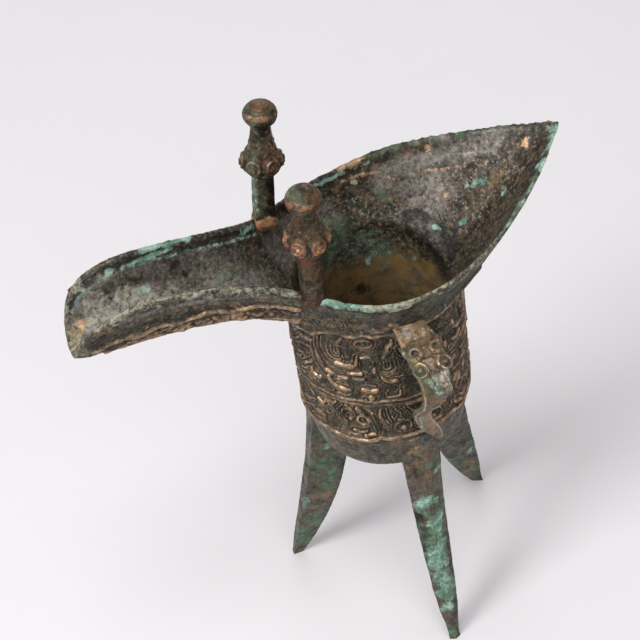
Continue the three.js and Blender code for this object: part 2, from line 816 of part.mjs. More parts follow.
// The handle's strap, grown by a distance: flat, broad under the head and narrow at its foot
function strap(grow) {
  const rings = [];
  for (let i = 0; i <= STRAP_RINGS; i++) {
    const t = i / STRAP_RINGS;
    const centre = strapCurve.getPointAt(t);
    const along = strapCurve.getTangentAt(t);
    const outward = new THREE.Vector3(centre.x, centre.y, 0).normalize();
    const across = new THREE.Vector3(0, 0, 1).cross(outward).normalize();
    const thick = along.clone().cross(across).normalize();
    const blend = THREE.MathUtils.smoothstep(t, ...STRAP_NARROWS);
    const half = THREE.MathUtils.lerp(STRAP_WIDTH_TOP, STRAP_WIDTH_LOW, blend) / 2 + grow;
    const deep = STRAP_THICK / 2 + grow;
    const corner = (a, b) => centre.clone().addScaledVector(across, a).addScaledVector(thick, b);
    rings.push(
      chamfered(
        [corner(-half, -deep), corner(half, -deep), corner(half, deep), corner(-half, deep)],
        STRAP_CHAMFER,
      ),
    );
  }
  return loftSolid(rings);
}

// A round tapering bar along a curve, for the horns
function taperedBar(curve, startRadius, endRadius) {
  const rings = [];
  for (let i = 0; i <= HORN_RINGS; i++) {
    const t = i / HORN_RINGS;
    const centre = curve.getPointAt(t);
    const along = curve.getTangentAt(t);
    const side = new THREE.Vector3(0, 1, 0.01).cross(along).normalize();
    const up = along.clone().cross(side).normalize();
    const radius = THREE.MathUtils.lerp(startRadius, endRadius, t);
    const ring = [];
    for (let k = 0; k < HORN_SIDES; k++) {
      const a = (k / HORN_SIDES) * 2 * Math.PI;
      ring.push(
        centre
          .clone()
          .addScaledVector(side, radius * Math.cos(a))
          .addScaledVector(up, radius * Math.sin(a)),
      );
    }
    rings.push(ring);
  }
  return loftSolid(rings);
}

// One horn, which curls in a spiral beside the poll
function horn(sign) {
  const bends = [];
  for (let i = 0; i <= HORN_BENDS; i++) {
    const t = i / HORN_BENDS;
    const a = t * HORN_SWEEP;
    const reach = HORN_CURL * (1 - t / 2);
    bends.push(
      new THREE.Vector3(
        HORN_X + reach * Math.cos(a),
        sign * (HORN_Y - reach * Math.sin(a)),
        HORN_Z - t * HORN_DROP,
      ),
    );
  }
  const curl = new THREE.CatmullRomCurve3(bends);
  return taperedBar(curl, HORN_RADIUS, HORN_RADIUS * HORN_TAPER);
}

// One eye: a ring with a pearl in it
function eye(sign) {
  const ring = new THREE.TorusGeometry(EYE_RADIUS - EYE_RING, EYE_RING, RING_SIDES, RING_STEPS);
  const pearl = new THREE.SphereGeometry(PEARL_RADIUS, DISC_SIDES, DISC_STEPS);
  const tilt = new THREE.Matrix4()
    .makeRotationX(-sign * EYE_TILT)
    .premultiply(new THREE.Matrix4().makeTranslation(EYE_X, sign * EYE_Y, EYE_Z));
  return solidOf(ring, tilt).add(solidOf(pearl, tilt));
}

// The ox head in its own frame: X runs from the poll to the muzzle, Y across, Z off the strap
function oxHead() {
  const halfWidth = smoothThrough(HEAD_HALF_WIDTH);
  const height = smoothThrough(HEAD_HEIGHT);
  const square = (v) => Math.sign(v) * Math.abs(v) ** HEAD_SQUARE;
  const rings = [];
  for (let i = 0; i <= HEAD_RINGS; i++) {
    const x = (HEAD_LENGTH * i) / HEAD_RINGS;
    const ring = [];
    for (let k = 0; k < HEAD_SIDES; k++) {
      const a = (k / HEAD_SIDES) * 2 * Math.PI;
      const off = (height(x) / 2) * (1 + square(Math.sin(a))) - HEAD_SUNK;
      ring.push(new THREE.Vector3(x, halfWidth(x) * square(Math.cos(a)), off));
    }
    rings.push(ring);
  }
  let head = loftSolid(rings);
  for (const sign of [-1, 1]) head = head.add(horn(sign)).add(eye(sign));
  const turn = new THREE.Matrix4()
    .makeRotationY(radians(-HEAD_TILT))
    .premultiply(new THREE.Matrix4().makeTranslation(CUP_RADIUS + HEAD_BASE[0], 0, HEAD_BASE[1]))
    .premultiply(new THREE.Matrix4().makeRotationZ(radians(HEAD_ANGLE)));
  return head.transform(turn.elements);
}

// The largest of the bodies that a cut leaves
function largest(solid) {
  return solid.decompose().reduce((a, b) => (a.volume() > b.volume() ? a : b));
}

const bodyBronze = new THREE.MeshStandardMaterial({ color: 0x3b322b, roughness: 0.6, metalness: 0.7 });
const legBronze = new THREE.MeshStandardMaterial({ color: 0x3f5a4b, roughness: 0.75, metalness: 0.4 });
const postBronze = new THREE.MeshStandardMaterial({ color: 0x4a3524, roughness: 0.5, metalness: 0.7 });
const handleBronze = new THREE.MeshStandardMaterial({ color: 0x7a6b52, roughness: 0.6, metalness: 0.6 });

const vessel = new THREE.Group();

function addPiece(name, solid, material) {
  const mesh = new THREE.Mesh(geometryOf(solid), material);
  mesh.name = name;
  vessel.add(mesh);
}

const shell = vesselShell(0).subtract(rimRebate());
const shellWithGap = vesselShell(SEAT_GAP);
const seam = CUP_RADIUS + RELIEF_HEIGHT + SEAM_CLEAR;
const halfGap = SEAT_GAP / 2;
addPiece("cup_body", shell.intersect(slab(-seam + halfGap, seam - halfGap)), bodyBronze);
addPiece("spout", shell.intersect(slab(LIP_X - 2 * PAST, -seam - halfGap)), bodyBronze);
addPiece("tail", shell.intersect(slab(seam + halfGap, TAIL_X + 2 * PAST)), bodyBronze);

const cupWithGap = cupOutside(SEAT_GAP);
const strapWithGap = strap(SEAT_GAP);
for (const [name, sizes] of Object.entries(LEGS)) {
  addPiece(name, largest(leg(sizes).subtract(cupWithGap).subtract(strapWithGap)), legBronze);
}

const strapSolid = strap(0).subtract(shellWithGap).subtract(cupInside(0));
addPiece("handle_strap", largest(strapSolid), handleBronze);
addPiece("handle_ox_head", largest(oxHead().subtract(strapWithGap).subtract(shellWithGap)), handleBronze);

for (const [side, sign, lean] of [
  ["near", -1, LEAN_NEAR],
  ["far", 1, LEAN_FAR],
]) {
  const place = postPlace(sign, lean).elements;
  addPiece(`post_${side}`, postShaft().transform(place).subtract(shellWithGap), postBronze);
  addPiece(`post_cap_${side}`, postCap().transform(place), postBronze);
}

// The middle of the footprint becomes the origin
const extent = new THREE.Box3().setFromObject(vessel);
const middle = extent.getCenter(new THREE.Vector3());
vessel.position.set(-middle.x, -middle.y, -extent.min.z);

export default vessel;
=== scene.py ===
"""A bronze jue, a footed Chinese wine vessel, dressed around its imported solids.

Shapes are worked in millimetres, with the cup's axis as the Z axis, and are brought into the
row frame, in metres, when each piece is finished.
"""

import logging
import math
from dataclasses import dataclass, field, fields
from enum import Enum
from typing import Callable, Sequence

import bmesh
import bpy
import numpy as np
from bmesh.types import BMEdge, BMesh, BMVert
from bpy.types import Material, Mesh, Node, NodeSocket, Object
from mathutils import Matrix, Vector, kdtree, noise

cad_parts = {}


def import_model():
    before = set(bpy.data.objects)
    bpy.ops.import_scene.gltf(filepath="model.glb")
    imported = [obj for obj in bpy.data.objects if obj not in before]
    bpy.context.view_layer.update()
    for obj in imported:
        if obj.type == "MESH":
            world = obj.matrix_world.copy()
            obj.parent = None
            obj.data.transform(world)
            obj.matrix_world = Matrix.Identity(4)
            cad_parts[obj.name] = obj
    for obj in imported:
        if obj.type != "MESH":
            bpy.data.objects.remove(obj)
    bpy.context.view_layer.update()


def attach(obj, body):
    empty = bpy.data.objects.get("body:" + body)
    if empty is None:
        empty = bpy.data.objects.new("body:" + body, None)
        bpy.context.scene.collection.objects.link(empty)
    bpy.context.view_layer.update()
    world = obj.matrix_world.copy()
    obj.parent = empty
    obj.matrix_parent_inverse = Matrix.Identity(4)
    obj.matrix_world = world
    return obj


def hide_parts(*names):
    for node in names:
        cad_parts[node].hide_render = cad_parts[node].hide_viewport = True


log = logging.getLogger("jue")

MM = 0.001
# Where the cup's axis stands in the row frame
AXIS_X = 15.987
AXIS_Y = 9.838
# Points of a mesh that are closer than this are one point
MERGE = 1e-4
# Distance between the points that stand for an ornament line
SAMPLE_STEP = 0.3
# The distance to the nearest ornament line where none is near
NO_LINE = 9.0
# A length too small to count, which also keeps divisions away from 0
TINY = 1e-6

Array = np.ndarray
Place = Callable[[Array, Array], Array]
Point2 = tuple[float, float]
Point3 = tuple[float, float, float]
# Red, green and blue from 0 to 255, as seen on screen
Colour = tuple[int, int, int]


class Side(Enum):
    """The two long sides of the vessel."""

    NEAR = -1
    FAR = 1


class Metal(Enum):
    """The record's material slots."""

    BODY = "body_bronze"
    LEG = "leg_bronze"
    POST = "post_bronze"
    HANDLE = "handle_bronze"


class Join(Enum):
    """What one body does to another."""

    ADD = "UNION"
    TAKE = "DIFFERENCE"
    SHARE = "INTERSECT"


def linear(colour: Colour) -> tuple[float, float, float, float]:
    """A colour as Blender's shaders take it.

    Args:
        colour: The colour as seen on screen.

    Returns:
        The linear colour with full alpha.
    """
    parts = [c / 255 for c in colour]
    out = [c / 12.92 if c <= 0.04045 else ((c + 0.055) / 1.055) ** 2.4 for c in parts]
    return (out[0], out[1], out[2], 1.0)


def smoothstep(low: float, high: float, value: Array) -> Array:
    """A soft step from 0 at low to 1 at high, which may lie below low."""
    t = np.clip((value - low) / (high - low), 0, 1)
    return t * t * (3 - 2 * t)


@dataclass(frozen=True)
class Curve:
    """A smooth line through a few points, read at any place along its first number."""

    points: tuple[Point2, ...]

    def __call__(self, x: Array | float) -> Array:
        """The line's height at x, held level past its ends.

        Args:
            x: Where to read it.

        Returns:
            The heights.
        """
        px = np.array([p[0] for p in self.points])
        py = np.array([p[1] for p in self.points])
        ahead = np.minimum(np.arange(len(px)) + 1, len(px) - 1)
        back = np.maximum(np.arange(len(px)) - 1, 0)
        slope = (py[ahead] - py[back]) / (px[ahead] - px[back])
        x = np.asarray(x, float)
        i = np.clip(np.searchsorted(px, x) - 1, 0, len(px) - 2)
        span = px[i + 1] - px[i]
        t = np.clip((x - px[i]) / span, 0, 1)
        a = 2 * t**3 - 3 * t**2 + 1
        b = t**3 - 2 * t**2 + t
        c = t**3 - t**2
        return a * py[i] + b * span * slope[i] + (1 - a) * py[i + 1] + c * span * slope[i + 1]


def spline(points: Sequence[Sequence[float]], step: float, closed: bool = False) -> Array:
    """Points at an even step along a smooth curve through control points.

    Args:
        points: The control points, in two or three dimensions.
        step: Distance between the points returned.
        closed: True for a ring.

    Returns:
        The points, one row each.
    """
    p = np.asarray(points, float)
    if closed:
        p = np.vstack([p[-1], p, p[0], p[1]])
    else:
        p = np.vstack([2 * p[0] - p[1], p, 2 * p[-1] - p[-2]])
    out = []
    for a, b, c, d in zip(p[:-3], p[1:-2], p[2:-1], p[3:]):
        n = max(2, int(math.ceil(np.linalg.norm(c - b) / step)))
        t = np.linspace(0, 1, n, endpoint=False)[:, None]
        out.append(
            0.5
            * (
                2 * b
                + (c - a) * t
                + (2 * a - 5 * b + 4 * c - d) * t**2
                + (3 * b - a - 3 * c + d) * t**3
            )
        )
    if not closed:
        out.append(p[-2][None, :])
    return np.vstack(out)


def fractal(points: Array, size: float, octaves: int, seed: float = 0.0) -> Array:
    """Rough natural variation, about -1 to 1.

    Args:
        points: Places in millimetres, one row each.
        size: Size of the largest blotches in millimetres.
        octaves: How many finer layers are added.
        seed: Moves the pattern.

    Returns:
        One value per place.
    """
    scaled = points / size + seed
    values = (noise.fractal(p, 0.8, 2.1, octaves) for p in scaled.tolist())
    return np.fromiter(values, float, len(scaled))


def squared(angle: Array, across: float, up: float) -> tuple[Array, Array]:
    """A round section drawn out towards a square.

    Args:
        angle: Angle round the section.
        across: Power of its width, 1 for round and less for squarer.
        up: Power of its height.

    Returns:
        Its width and height at each angle, from -1 to 1.
    """
    u = np.sign(np.cos(angle)) * np.abs(np.cos(angle)) ** across
    v = np.sign(np.sin(angle)) * np.abs(np.sin(angle)) ** up
    return u, v


def unit(rows: Array) -> Array:
    """Directions of length 1, one row each."""
    return rows / np.linalg.norm(rows, axis=1)[:, None]


# ornament


@dataclass(frozen=True)
class Stroke:
    """One raised line of the cast ornament, on the wall unrolled flat, in millimetres."""

    points: tuple[Point2, ...]
    half_width: float
    height: float
    rub: float
    closed: bool = False

    def samples(self) -> Array:
        """Closely spaced points with the line's half width, height and brightness.

        Returns:
            Rows of place along, place up, half width, height and how brightly it shows worn metal and
            painted highlight.
        """
        if len(self.points) == 1:
            line = np.asarray(self.points, float)
        else:
            line = spline(self.points, SAMPLE_STEP, self.closed)
        extra = np.tile([self.half_width, self.height, self.rub], (len(line), 1))
        return np.hstack([line, extra])


def ridge(half_width: float, height: float, rub: float, *points: Point2) -> Stroke:
    """A raised line from its sizes and its points."""
    return Stroke(points, half_width, height, rub)


def arc(
    centre: Point2, radii: Point2, start: float, end: float, half_width: float, height: float, rub: float
) -> Stroke:
    """Part of an oval.

    Args:
        centre: Its middle.
        radii: Its two radii, along and up.
        start: Angle in degrees where it starts.
        end: Angle where it ends.
        half_width: Half the line's width.
        height: Height of the line.
        rub: How brightly it shows worn metal and painted highlight.

    Returns:
        The line.
    """
    n = max(4, int(abs(end - start) / 30))
    turn = [math.radians(start + (end - start) * i / n) for i in range(n + 1)]
    x, y = centre
    points = tuple((x + radii[0] * math.cos(a), y + radii[1] * math.sin(a)) for a in turn)
    return Stroke(points, half_width, height, rub)


def spiral(
    centre: Point2,
    radius: float,
    turns: float,
    start: float,
    half_width: float,
    height: float,
    rub: float,
) -> Stroke:
    """A line that winds in to a point.

    Args:
        centre: Its middle.
        radius: Its outer radius.
        turns: How many turns it makes, negative to wind the other way.
        start: Angle in degrees of its outer end.
        half_width: Half the line's width.
        height: Height of the line.
        rub: How brightly it shows worn metal and painted highlight.

    Returns:
        The line.
    """
    n = max(6, int(abs(turns) * 10))
    shrink = 0.88
    points = []
    for i in range(n + 1):
        a = math.radians(start) + 2 * math.pi * turns * i / n
        r = radius * (1 - shrink * i / n)
        points.append((centre[0] + r * math.cos(a), centre[1] + r * math.sin(a)))
    return Stroke(tuple(points), half_width, height, rub)


def boss(centre: Point2, radius: float, height: float, rub: float) -> Stroke:
    """A round stud."""
    return Stroke((centre,), radius, height, rub)


class Relief:
    """The height of a set of strokes at any place on the unrolled wall."""

    # Where a line's side meets the ground, where it meets the top, and its edge, in half widths
    foot = 1.55
    crown = 0.3
    edge = 1.2

    def __init__(self, strokes: Sequence[Stroke]) -> None:
        """Collects the strokes.

        Args:
            strokes: The raised lines.
        """
        self.rows = np.vstack([s.samples() for s in strokes])
        self.tree = kdtree.KDTree(len(self.rows))
        for i, row in enumerate(self.rows.tolist()):
            self.tree.insert((row[0], row[1], 0.0), i)
        self.tree.balance()

    def read(self, along: Array, up: Array) -> tuple[Array, Array, Array]:
        """The raised height, the distance to the nearest line and how brightly it shows worn metal and
        painted highlight.

        Args:
            along: Places along the wall.
            up: Places up the wall.

        Returns:
            Height from 0 to about 1.4, distance past the line's edge in millimetres, brightness.
        """
        find = self.tree.find
        pairs = [find((a, b, 0.0))[1:] for a, b in zip(along.tolist(), up.tolist())]
        index = np.array([p[0] for p in pairs])
        distance = np.array([p[1] for p in pairs])
        half = self.rows[index, 2]
        height = self.rows[index, 3] * smoothstep(self.foot, self.crown, distance / half)
        return height, distance - self.edge * half, self.rows[index, 4]


def echoes(past: Array, pitch: float) -> Array:
    """The height of thin lines at a pitch beside the main forms, by the distance past their edge."""
    wave = np.cos(2 * math.pi * (past / pitch - 0.6))
    return smoothstep(-0.3, 0.8, wave) * smoothstep(0.15, 0.4, past)


# The raised lines over, between and under the bands
BORDERS = (
    ridge(0.72, 1.1, 0.75, (-1, 154.1), (3, 153.8), (7, 153.4), (12, 152.7), (15.2, 153.9), (18, 152.9),
        (20.5, 152.5), (23.8, 153.5), (26.2, 152.6), (28.6, 152.2), (30.8, 151.1), (32.6, 149.6),
        (34.4, 148.4), (37.2, 148.1), (40.4, 146.9), (43.4, 145.4), (46.8, 143.4)),
    ridge(0.62, 1.1, 0.8, (-1, 120.8), (4, 121.2), (7, 121.8), (11, 121.9), (14.6, 121.6), (19, 122.1),
        (23.8, 121.9), (28, 121.5), (32.6, 122.2), (37, 121.2), (42, 121.3), (46.8, 121)),
    ridge(0.55, 0.9, 0.5, (4.4, 119), (8.5, 119.7), (12, 120), (16, 119.6), (20, 120), (26, 120.1),
        (33, 120), (40, 119.3), (46.8, 118.9)),
    ridge(0.9, 1.3, 1, (-1, 118.1), (2, 118.4), (4.4, 119)),
    ridge(0.85, 1.25, 1, (-1, 102.7), (6, 102.6), (10, 102.6), (13.8, 103.1), (16.4, 101.9), (19.6, 101.5),
        (23.6, 101.4), (28, 101.6), (31.8, 102), (37, 102.3), (42, 101.8), (46.8, 101.9)),
)

# The mask's nested horns, which sweep down into thick bars
HORNS = (
    ridge(0.36, 0.9, 0.5, (25.9, 145.8), (25.9, 144.2), (25, 144)),
    ridge(0.38, 0.9, 0.6, (26.9, 147.2), (27.3, 144.6), (26.3, 142.8), (24.8, 142.9), (24.1, 144.6),
        (24.7, 146.4)),
    ridge(0.42, 1, 0.6, (28.2, 149), (28.9, 145), (28.2, 142.2), (26.2, 141), (24, 141.4)),
    ridge(0.5, 1, 0.5, (30.3, 149.8), (30.8, 146), (30.2, 142.6), (28.6, 140.2), (26.6, 139.2)),
    ridge(0.9, 1.4, 1, (26.2, 139.1), (22.8, 138.8), (20, 139.1)),
    ridge(0.55, 1.2, 0.9, (20, 139.1), (18.9, 140), (18.6, 141.6), (18.2, 143.6)),
    ridge(0.5, 1, 0.4, (31.9, 150.2), (32.4, 146), (31.9, 142), (30.5, 138.8), (28, 136.7), (25.2, 135.9),
        (22.6, 135.5)),
    ridge(0.72, 1.4, 1, (22.5, 135.5), (20, 135.2), (17.7, 135.5)),
    ridge(0.5, 1, 0.4, (33.4, 148.8), (34, 145), (33.6, 141), (32.4, 137.6), (30.6, 135)),
    ridge(0.75, 1.35, 1, (30.4, 134.3), (28, 133.1), (25.4, 132.6), (22.6, 132.4)),
    ridge(0.45, 0.9, 0.4, (35.4, 147), (35.8, 142.5), (35.4, 138), (34, 134.5), (32, 131.8), (30.6, 130.4)),
    ridge(0.65, 1.35, 1, (29.7, 131.4), (28.9, 129.2), (27.2, 127.5), (25, 126.9), (22.4, 126.9)),
    ridge(0.5, 1, 0.8, (27.8, 130.7), (25.4, 131), (23.2, 130.4)),
    ridge(0.45, 0.9, 0.8, (27, 129.2), (24.8, 129), (22.9, 129.1)),
    ridge(0.9, 0.55, 0.1, (21.9, 149.6), (21.8, 145.8), (21.7, 142.2)),
    ridge(0.6, 1.2, 0.9, (24.4, 149.6), (23.3, 150.3), (22.6, 151.4)),
)

# The mask's eye, jaw bars and curls between the horns and the handle
FACE = (
    arc((15.6, 149.6), (2.9, 1.7), 0, 360, 0.45, 0.95, 0.4),
    boss((15.6, 149.5), 0.8, 0.9, 0.3),
    ridge(0.45, 1.15, 0.9, (17, 143.1), (15.6, 143.5), (14, 143.2)),
    Stroke(((17.3, 141.9), (13.8, 141.9), (13.7, 138.7), (17.3, 138.6)), 0.42, 0.8, 0.3, True),
    boss((15.5, 140.2), 0.9, 0.7, 0.2),
    ridge(0.45, 1, 0.6, (16.6, 136.7), (15.2, 136.4)),
    ridge(0.85, 1.45, 0.7, (13.1, 137.7), (13.1, 136.3)),
    ridge(0.45, 1, 0.7, (16.4, 134.2), (14.6, 133.6)),
    ridge(0.6, 1.2, 0.7, (20.6, 132.9), (18.8, 132.6), (17, 132.8)),
    ridge(0.78, 1.45, 1, (17.6, 127.7), (15.2, 127.2), (13, 127.6)),
    ridge(0.5, 0.9, 0.6, (18.4, 129.4), (15.6, 130.2), (13.4, 129.6)),
    boss((15.2, 123.9), 1.15, 1.5, 1),
    arc((15.2, 123.6), (2.2, 2), 190, 350, 0.38, 0.9, 0.5),
    ridge(0.4, 0.9, 0.7, (11, 140.8), (11, 136.4), (6.4, 136.2), (6.2, 140.8)),
    ridge(0.38, 0.9, 0.7, (9.8, 140.6), (9.7, 137.7), (7.7, 137.6), (7.5, 140.4)),
    ridge(0.36, 0.8, 0.5, (8.7, 140.8), (8.7, 138.9)),
    ridge(0.4, 0.9, 0.6, (11.2, 135.1), (8.7, 134.8), (6.2, 135)),
    ridge(0.75, 1.2, 0.9, (6.4, 149.8), (6.9, 148.4), (7.9, 147.2), (8.2, 145.6), (9.2, 144.2),
        (10, 143.4)),
    ridge(0.6, 1.35, 1, (10.8, 133.3), (9.6, 131.9), (8.2, 131.2), (6.2, 131.1)),
    ridge(0.42, 0.8, 0.3, (10.4, 129.5), (8, 129.1), (5.6, 129.6)),
    ridge(0.5, 1.1, 0.9, (10.3, 125.5), (9.6, 123.9), (5.8, 123.7), (5.3, 125.6)),
    boss((9.4, 127), 0.55, 1.2, 0.9),
    ridge(0.45, 0.9, 0.5, (4.2, 131.2), (1, 130.2), (-1, 130.4)),
    ridge(0.45, 0.9, 0.5, (4.2, 127.6), (1, 127), (-1, 127.2)),
    ridge(0.5, 0.9, 0.5, (4.4, 146), (3.2, 142.8), (1.4, 141)),
    spiral((2, 136.8), 2, 1.4, 90, 0.42, 1, 0.6),
    ridge(0.5, 0.7, 0.3, (20.2, 156.4), (19.8, 159.4), (18.2, 160.8), (16.8, 159.2), (17, 156)),
    ridge(0.5, 0.9, 0.9, (15.2, 157.4), (15.2, 154.8)),
    ridge(0.6, 1, 0.8, (11.5, 159.3), (10.3, 158.3)),
    ridge(0.5, 0.9, 0.9, (12.6, 156.8), (8.6, 156.6)),
    ridge(0.6, 1, 0.9, (6.6, 161), (4.6, 159.8), (4.8, 157)),
)

# The slanting forms between the mask and the spout's line
DRAGON = (
    ridge(0.8, 1.2, 0.7, (40.6, 144), (37.8, 144.5), (35.2, 145.4)),
    ridge(0.6, 1.1, 0.6, (41.4, 139.3), (38.6, 140.4), (36.4, 141.4)),
    ridge(0.5, 0.9, 0.5, (43.5, 136), (40.8, 137), (38, 138)),
    ridge(0.6, 1.2, 0.8, (40.2, 130.6), (38.2, 132.6), (36.6, 135)),
    ridge(0.5, 1, 0.5, (45, 133.4), (42, 134.2), (40.4, 134.8)),
    ridge(0.72, 1.3, 0.9, (37.4, 130.4), (36.9, 128.5), (35, 127.8), (33.6, 128.6)),
    ridge(0.6, 1.2, 0.9, (39, 126.2), (36.4, 125.5)),
    ridge(0.55, 1, 0.6, (43.2, 126), (41.2, 127), (39.9, 128.5)),
    ridge(0.5, 1, 0.5, (46.8, 129.3), (44.2, 130.6), (42.6, 132.2)),
    ridge(0.5, 1, 0.5, (46.8, 141.8), (44.4, 143.2), (42.4, 144.8)),
    ridge(0.5, 1, 0.5, (46.8, 137.4), (44.6, 138.8), (42.8, 140.8)),
    ridge(0.5, 1, 0.7, (33.6, 124.4), (31, 123.7), (28.6, 124.3)),
    ridge(0.45, 1, 0.8, (26.6, 124.2), (24.4, 123.6), (22.4, 124.4)),
    ridge(0.45, 0.9, 0.6, (46.8, 124.6), (44.4, 123.9), (41.6, 124.2)),
)

# The lower band: coiled whorls, ring studs and slanting forms
WHORLS = (
    ridge(0.42, 1, 0.5, (26.6, 113.8), (26.2, 116), (24.4, 117), (22.4, 116), (21.8, 114)),
    ridge(0.38, 0.9, 0.5, (25.2, 113.6), (24.4, 115), (23, 114.4)),
    ridge(0.48, 1, 0.7, (27.9, 112), (27.2, 109.6), (25.2, 108)),
    ridge(0.45, 1.1, 0.9, (26.1, 111.5), (25, 109.9)),
    boss((23.4, 112.2), 0.95, 1.2, 0.6),
    ridge(0.5, 1.2, 1, (24.6, 118.7), (23.3, 117.4), (22.6, 115.6)),
    ridge(0.65, 1.3, 1, (20.8, 117.9), (19.7, 116.4), (18.9, 114.7)),
    ridge(0.6, 1.3, 1, (18.2, 119), (16.9, 117.8), (15.9, 116.4)),
    arc((19.2, 112.3), (1.9, 2.1), 0, 360, 0.48, 1.2, 0.9),
    boss((19.2, 112.6), 0.6, 1, 0.4),
    ridge(0.6, 1.1, 0.8, (28.6, 118.8), (30.1, 117.5), (31.6, 118.8)),
    ridge(0.6, 1.2, 0.9, (30.6, 116.8), (30, 115.1)),
    ridge(0.6, 1.1, 0.9, (36.4, 115.7), (34.5, 114.8), (33.4, 115.7)),
    ridge(0.6, 1.1, 0.7, (41.6, 118.6), (39.8, 117.2), (38.6, 115.7)),
    ridge(0.5, 1, 0.6, (45.4, 117.4), (43.4, 115.6)),
    ridge(0.55, 1, 0.8, (44.8, 110.4), (42.6, 111.2), (40.2, 112.6), (38.6, 113.4)),
    ridge(0.55, 1, 0.6, (43.6, 106.9), (41.4, 108), (39.4, 109.4)),
    ridge(0.62, 1.2, 1, (38.2, 108.6), (36.6, 109), (34.6, 107.7)),
    ridge(0.6, 1, 0.7, (46.8, 105.4), (44.6, 106), (42.6, 105.4)),
    ridge(0.5, 1, 0.6, (37.6, 105), (35.3, 106.1), (33.7, 105.5)),
    ridge(0.5, 1.2, 0.9, (22.8, 106.6), (20.4, 106), (18.2, 106.9)),
    ridge(0.45, 1, 0.8, (27, 106.4), (24.6, 105.1), (22.4, 104.4)),
    ridge(0.65, 1.35, 1, (19.4, 104.4), (17.6, 104.9), (15.8, 105.6)),
    ridge(0.4, 0.9, 0.6, (24, 109.6), (21.6, 108.7), (18.8, 108.7), (17, 110)),
    ridge(0.55, 1.2, 0.9, (12.9, 117.4), (13.3, 115), (12.5, 112.8)),
    ridge(0.4, 0.9, 0.5, (10.8, 118), (10.5, 114), (9.6, 111)),
    ridge(0.4, 0.9, 0.5, (16.8, 113.8), (16.2, 110.4), (15.2, 107)),
    arc((5.8, 108.2), (2.9, 2.9), 0, 360, 0.5, 1.05, 0.5),
    boss((5.6, 107.2), 1.15, 1.45, 1),
    ridge(0.5, 1.2, 0.9, (7.2, 111.8), (5.6, 112)),
    ridge(0.5, 1, 0.5, (3.6, 117), (2, 114.8), (1.2, 112)),
    ridge(0.5, 1, 0.5, (7.6, 116.8), (6.2, 115), (6.4, 113.6)),
    ridge(0.45, 0.9, 0.5, (1.4, 106), (0.2, 104.4)),
)

# Lines that are cut deeper than the ground, and the pit round the mask's curl
GROOVES = (
    ridge(0.6, 0.8, 0, (33.6, 115.4), (31.9, 111.6), (31, 108.6), (30.4, 105)),
    ridge(0.55, 0.7, 0, (15, 114.6), (13.6, 109.8), (11.6, 104.8)),
    ridge(0.5, 0.7, 0, (31.2, 149.4), (31.6, 145), (31, 141.2), (29.2, 138.2)),
    ridge(0.5, 0.7, 0, (32.8, 148.4), (33.2, 144), (32.8, 140.4), (31.4, 136.8)),
    ridge(2.6, 0.9, 0, (8.9, 150), (8.9, 147), (9, 143.6)),
    ridge(0.45, 0.6, 0, (20.1, 149.4), (20, 145), (20.2, 142)),
    ridge(0.45, 0.6, 0, (23.5, 148.6), (23.4, 145), (23.2, 142.6)),
    ridge(1.1, 0.6, 0, (20.9, 129.8), (20.7, 127.2)),
    ridge(0.6, 0.6, 0, (17.4, 115.8), (16.6, 113.2)),
)


@dataclass(frozen=True)
class CupBands:
    """The cup's ornament for a quarter of the way round, repeated in all four.

    Places are the distance along the wall from the handle's line, and the height.
    """

    quarter: float = 46.73
    low_line: float = 101.9
    border: Curve = Curve((
        (0, 154.0), (7, 153.4), (15, 153.9), (24, 153.5), (30.8, 151.1), (34.4, 148.4), (40.4, 146.9),
        (46.8, 143.4),
    ))

    def strokes(self) -> list[Stroke]:
        """Both bands with their borders, and the row of scales under them."""
        scales = [arc((21.4 + 2.8 * i, 103.7), (1.1, 1.1), 20, 160, 0.38, 0.9, 0.7) for i in range(9)]
        return [*BORDERS, *HORNS, *FACE, *DRAGON, *WHORLS, *scales]

    def fold(self, angle: Array) -> Array:
        """Distance along the wall from the handle's line, mirrored in each quarter."""
        around = np.abs((angle + math.pi) % (2 * math.pi) - math.pi) / math.pi
        return self.quarter * (1 - np.abs(1 - 2 * around))


def combed(along: Array, up: Array, cell: float) -> Array:
    """A fine field of small squared coils, raised a little.

    Args:
        along: Places along the wall in millimetres.
        up: Places up the wall.
        cell: Size of one coil.

    Returns:
        Height from 0 to 1.
    """
    row = np.floor(up / cell)
    a = 2 * ((along / cell + 0.5 * (row % 2)) % 1) - 1
    b = 2 * ((up / cell) % 1) - 1
    square = np.maximum(np.abs(a), np.abs(b)) + 0.12 * np.arctan2(b, a) / math.pi
    return smoothstep(-0.2, 0.6, np.sin(square * math.pi * 3.6))


# meshes


def skin(stations: int, around: int, place: Place) -> BMesh:
    """A tube shaped from a grid, closed at both ends.

    Args:
        stations: Rows along it.
        around: Columns round it.
        place: Gives the points for shares along and round, both from 0 to 1.

    Returns:
        The shape in millimetres.
    """
    bm = bmesh.new()
    bmesh.ops.create_grid(bm, x_segments=stations, y_segments=around, size=1.0)
    bm.verts.ensure_lookup_table()
    grid = np.array([v.co[:2] for v in bm.verts]) * 0.5 + 0.5
    for vert, point in zip(bm.verts, place(grid[:, 0], grid[:, 1]).tolist()):
        vert.co = point
    bmesh.ops.remove_doubles(bm, verts=bm.verts, dist=MERGE)
    open_edges = [e for e in bm.edges if e.is_boundary]
    if open_edges:
        bmesh.ops.holes_fill(bm, edges=open_edges, sides=0)
    bmesh.ops.recalc_face_normals(bm, faces=bm.faces)
    return bm


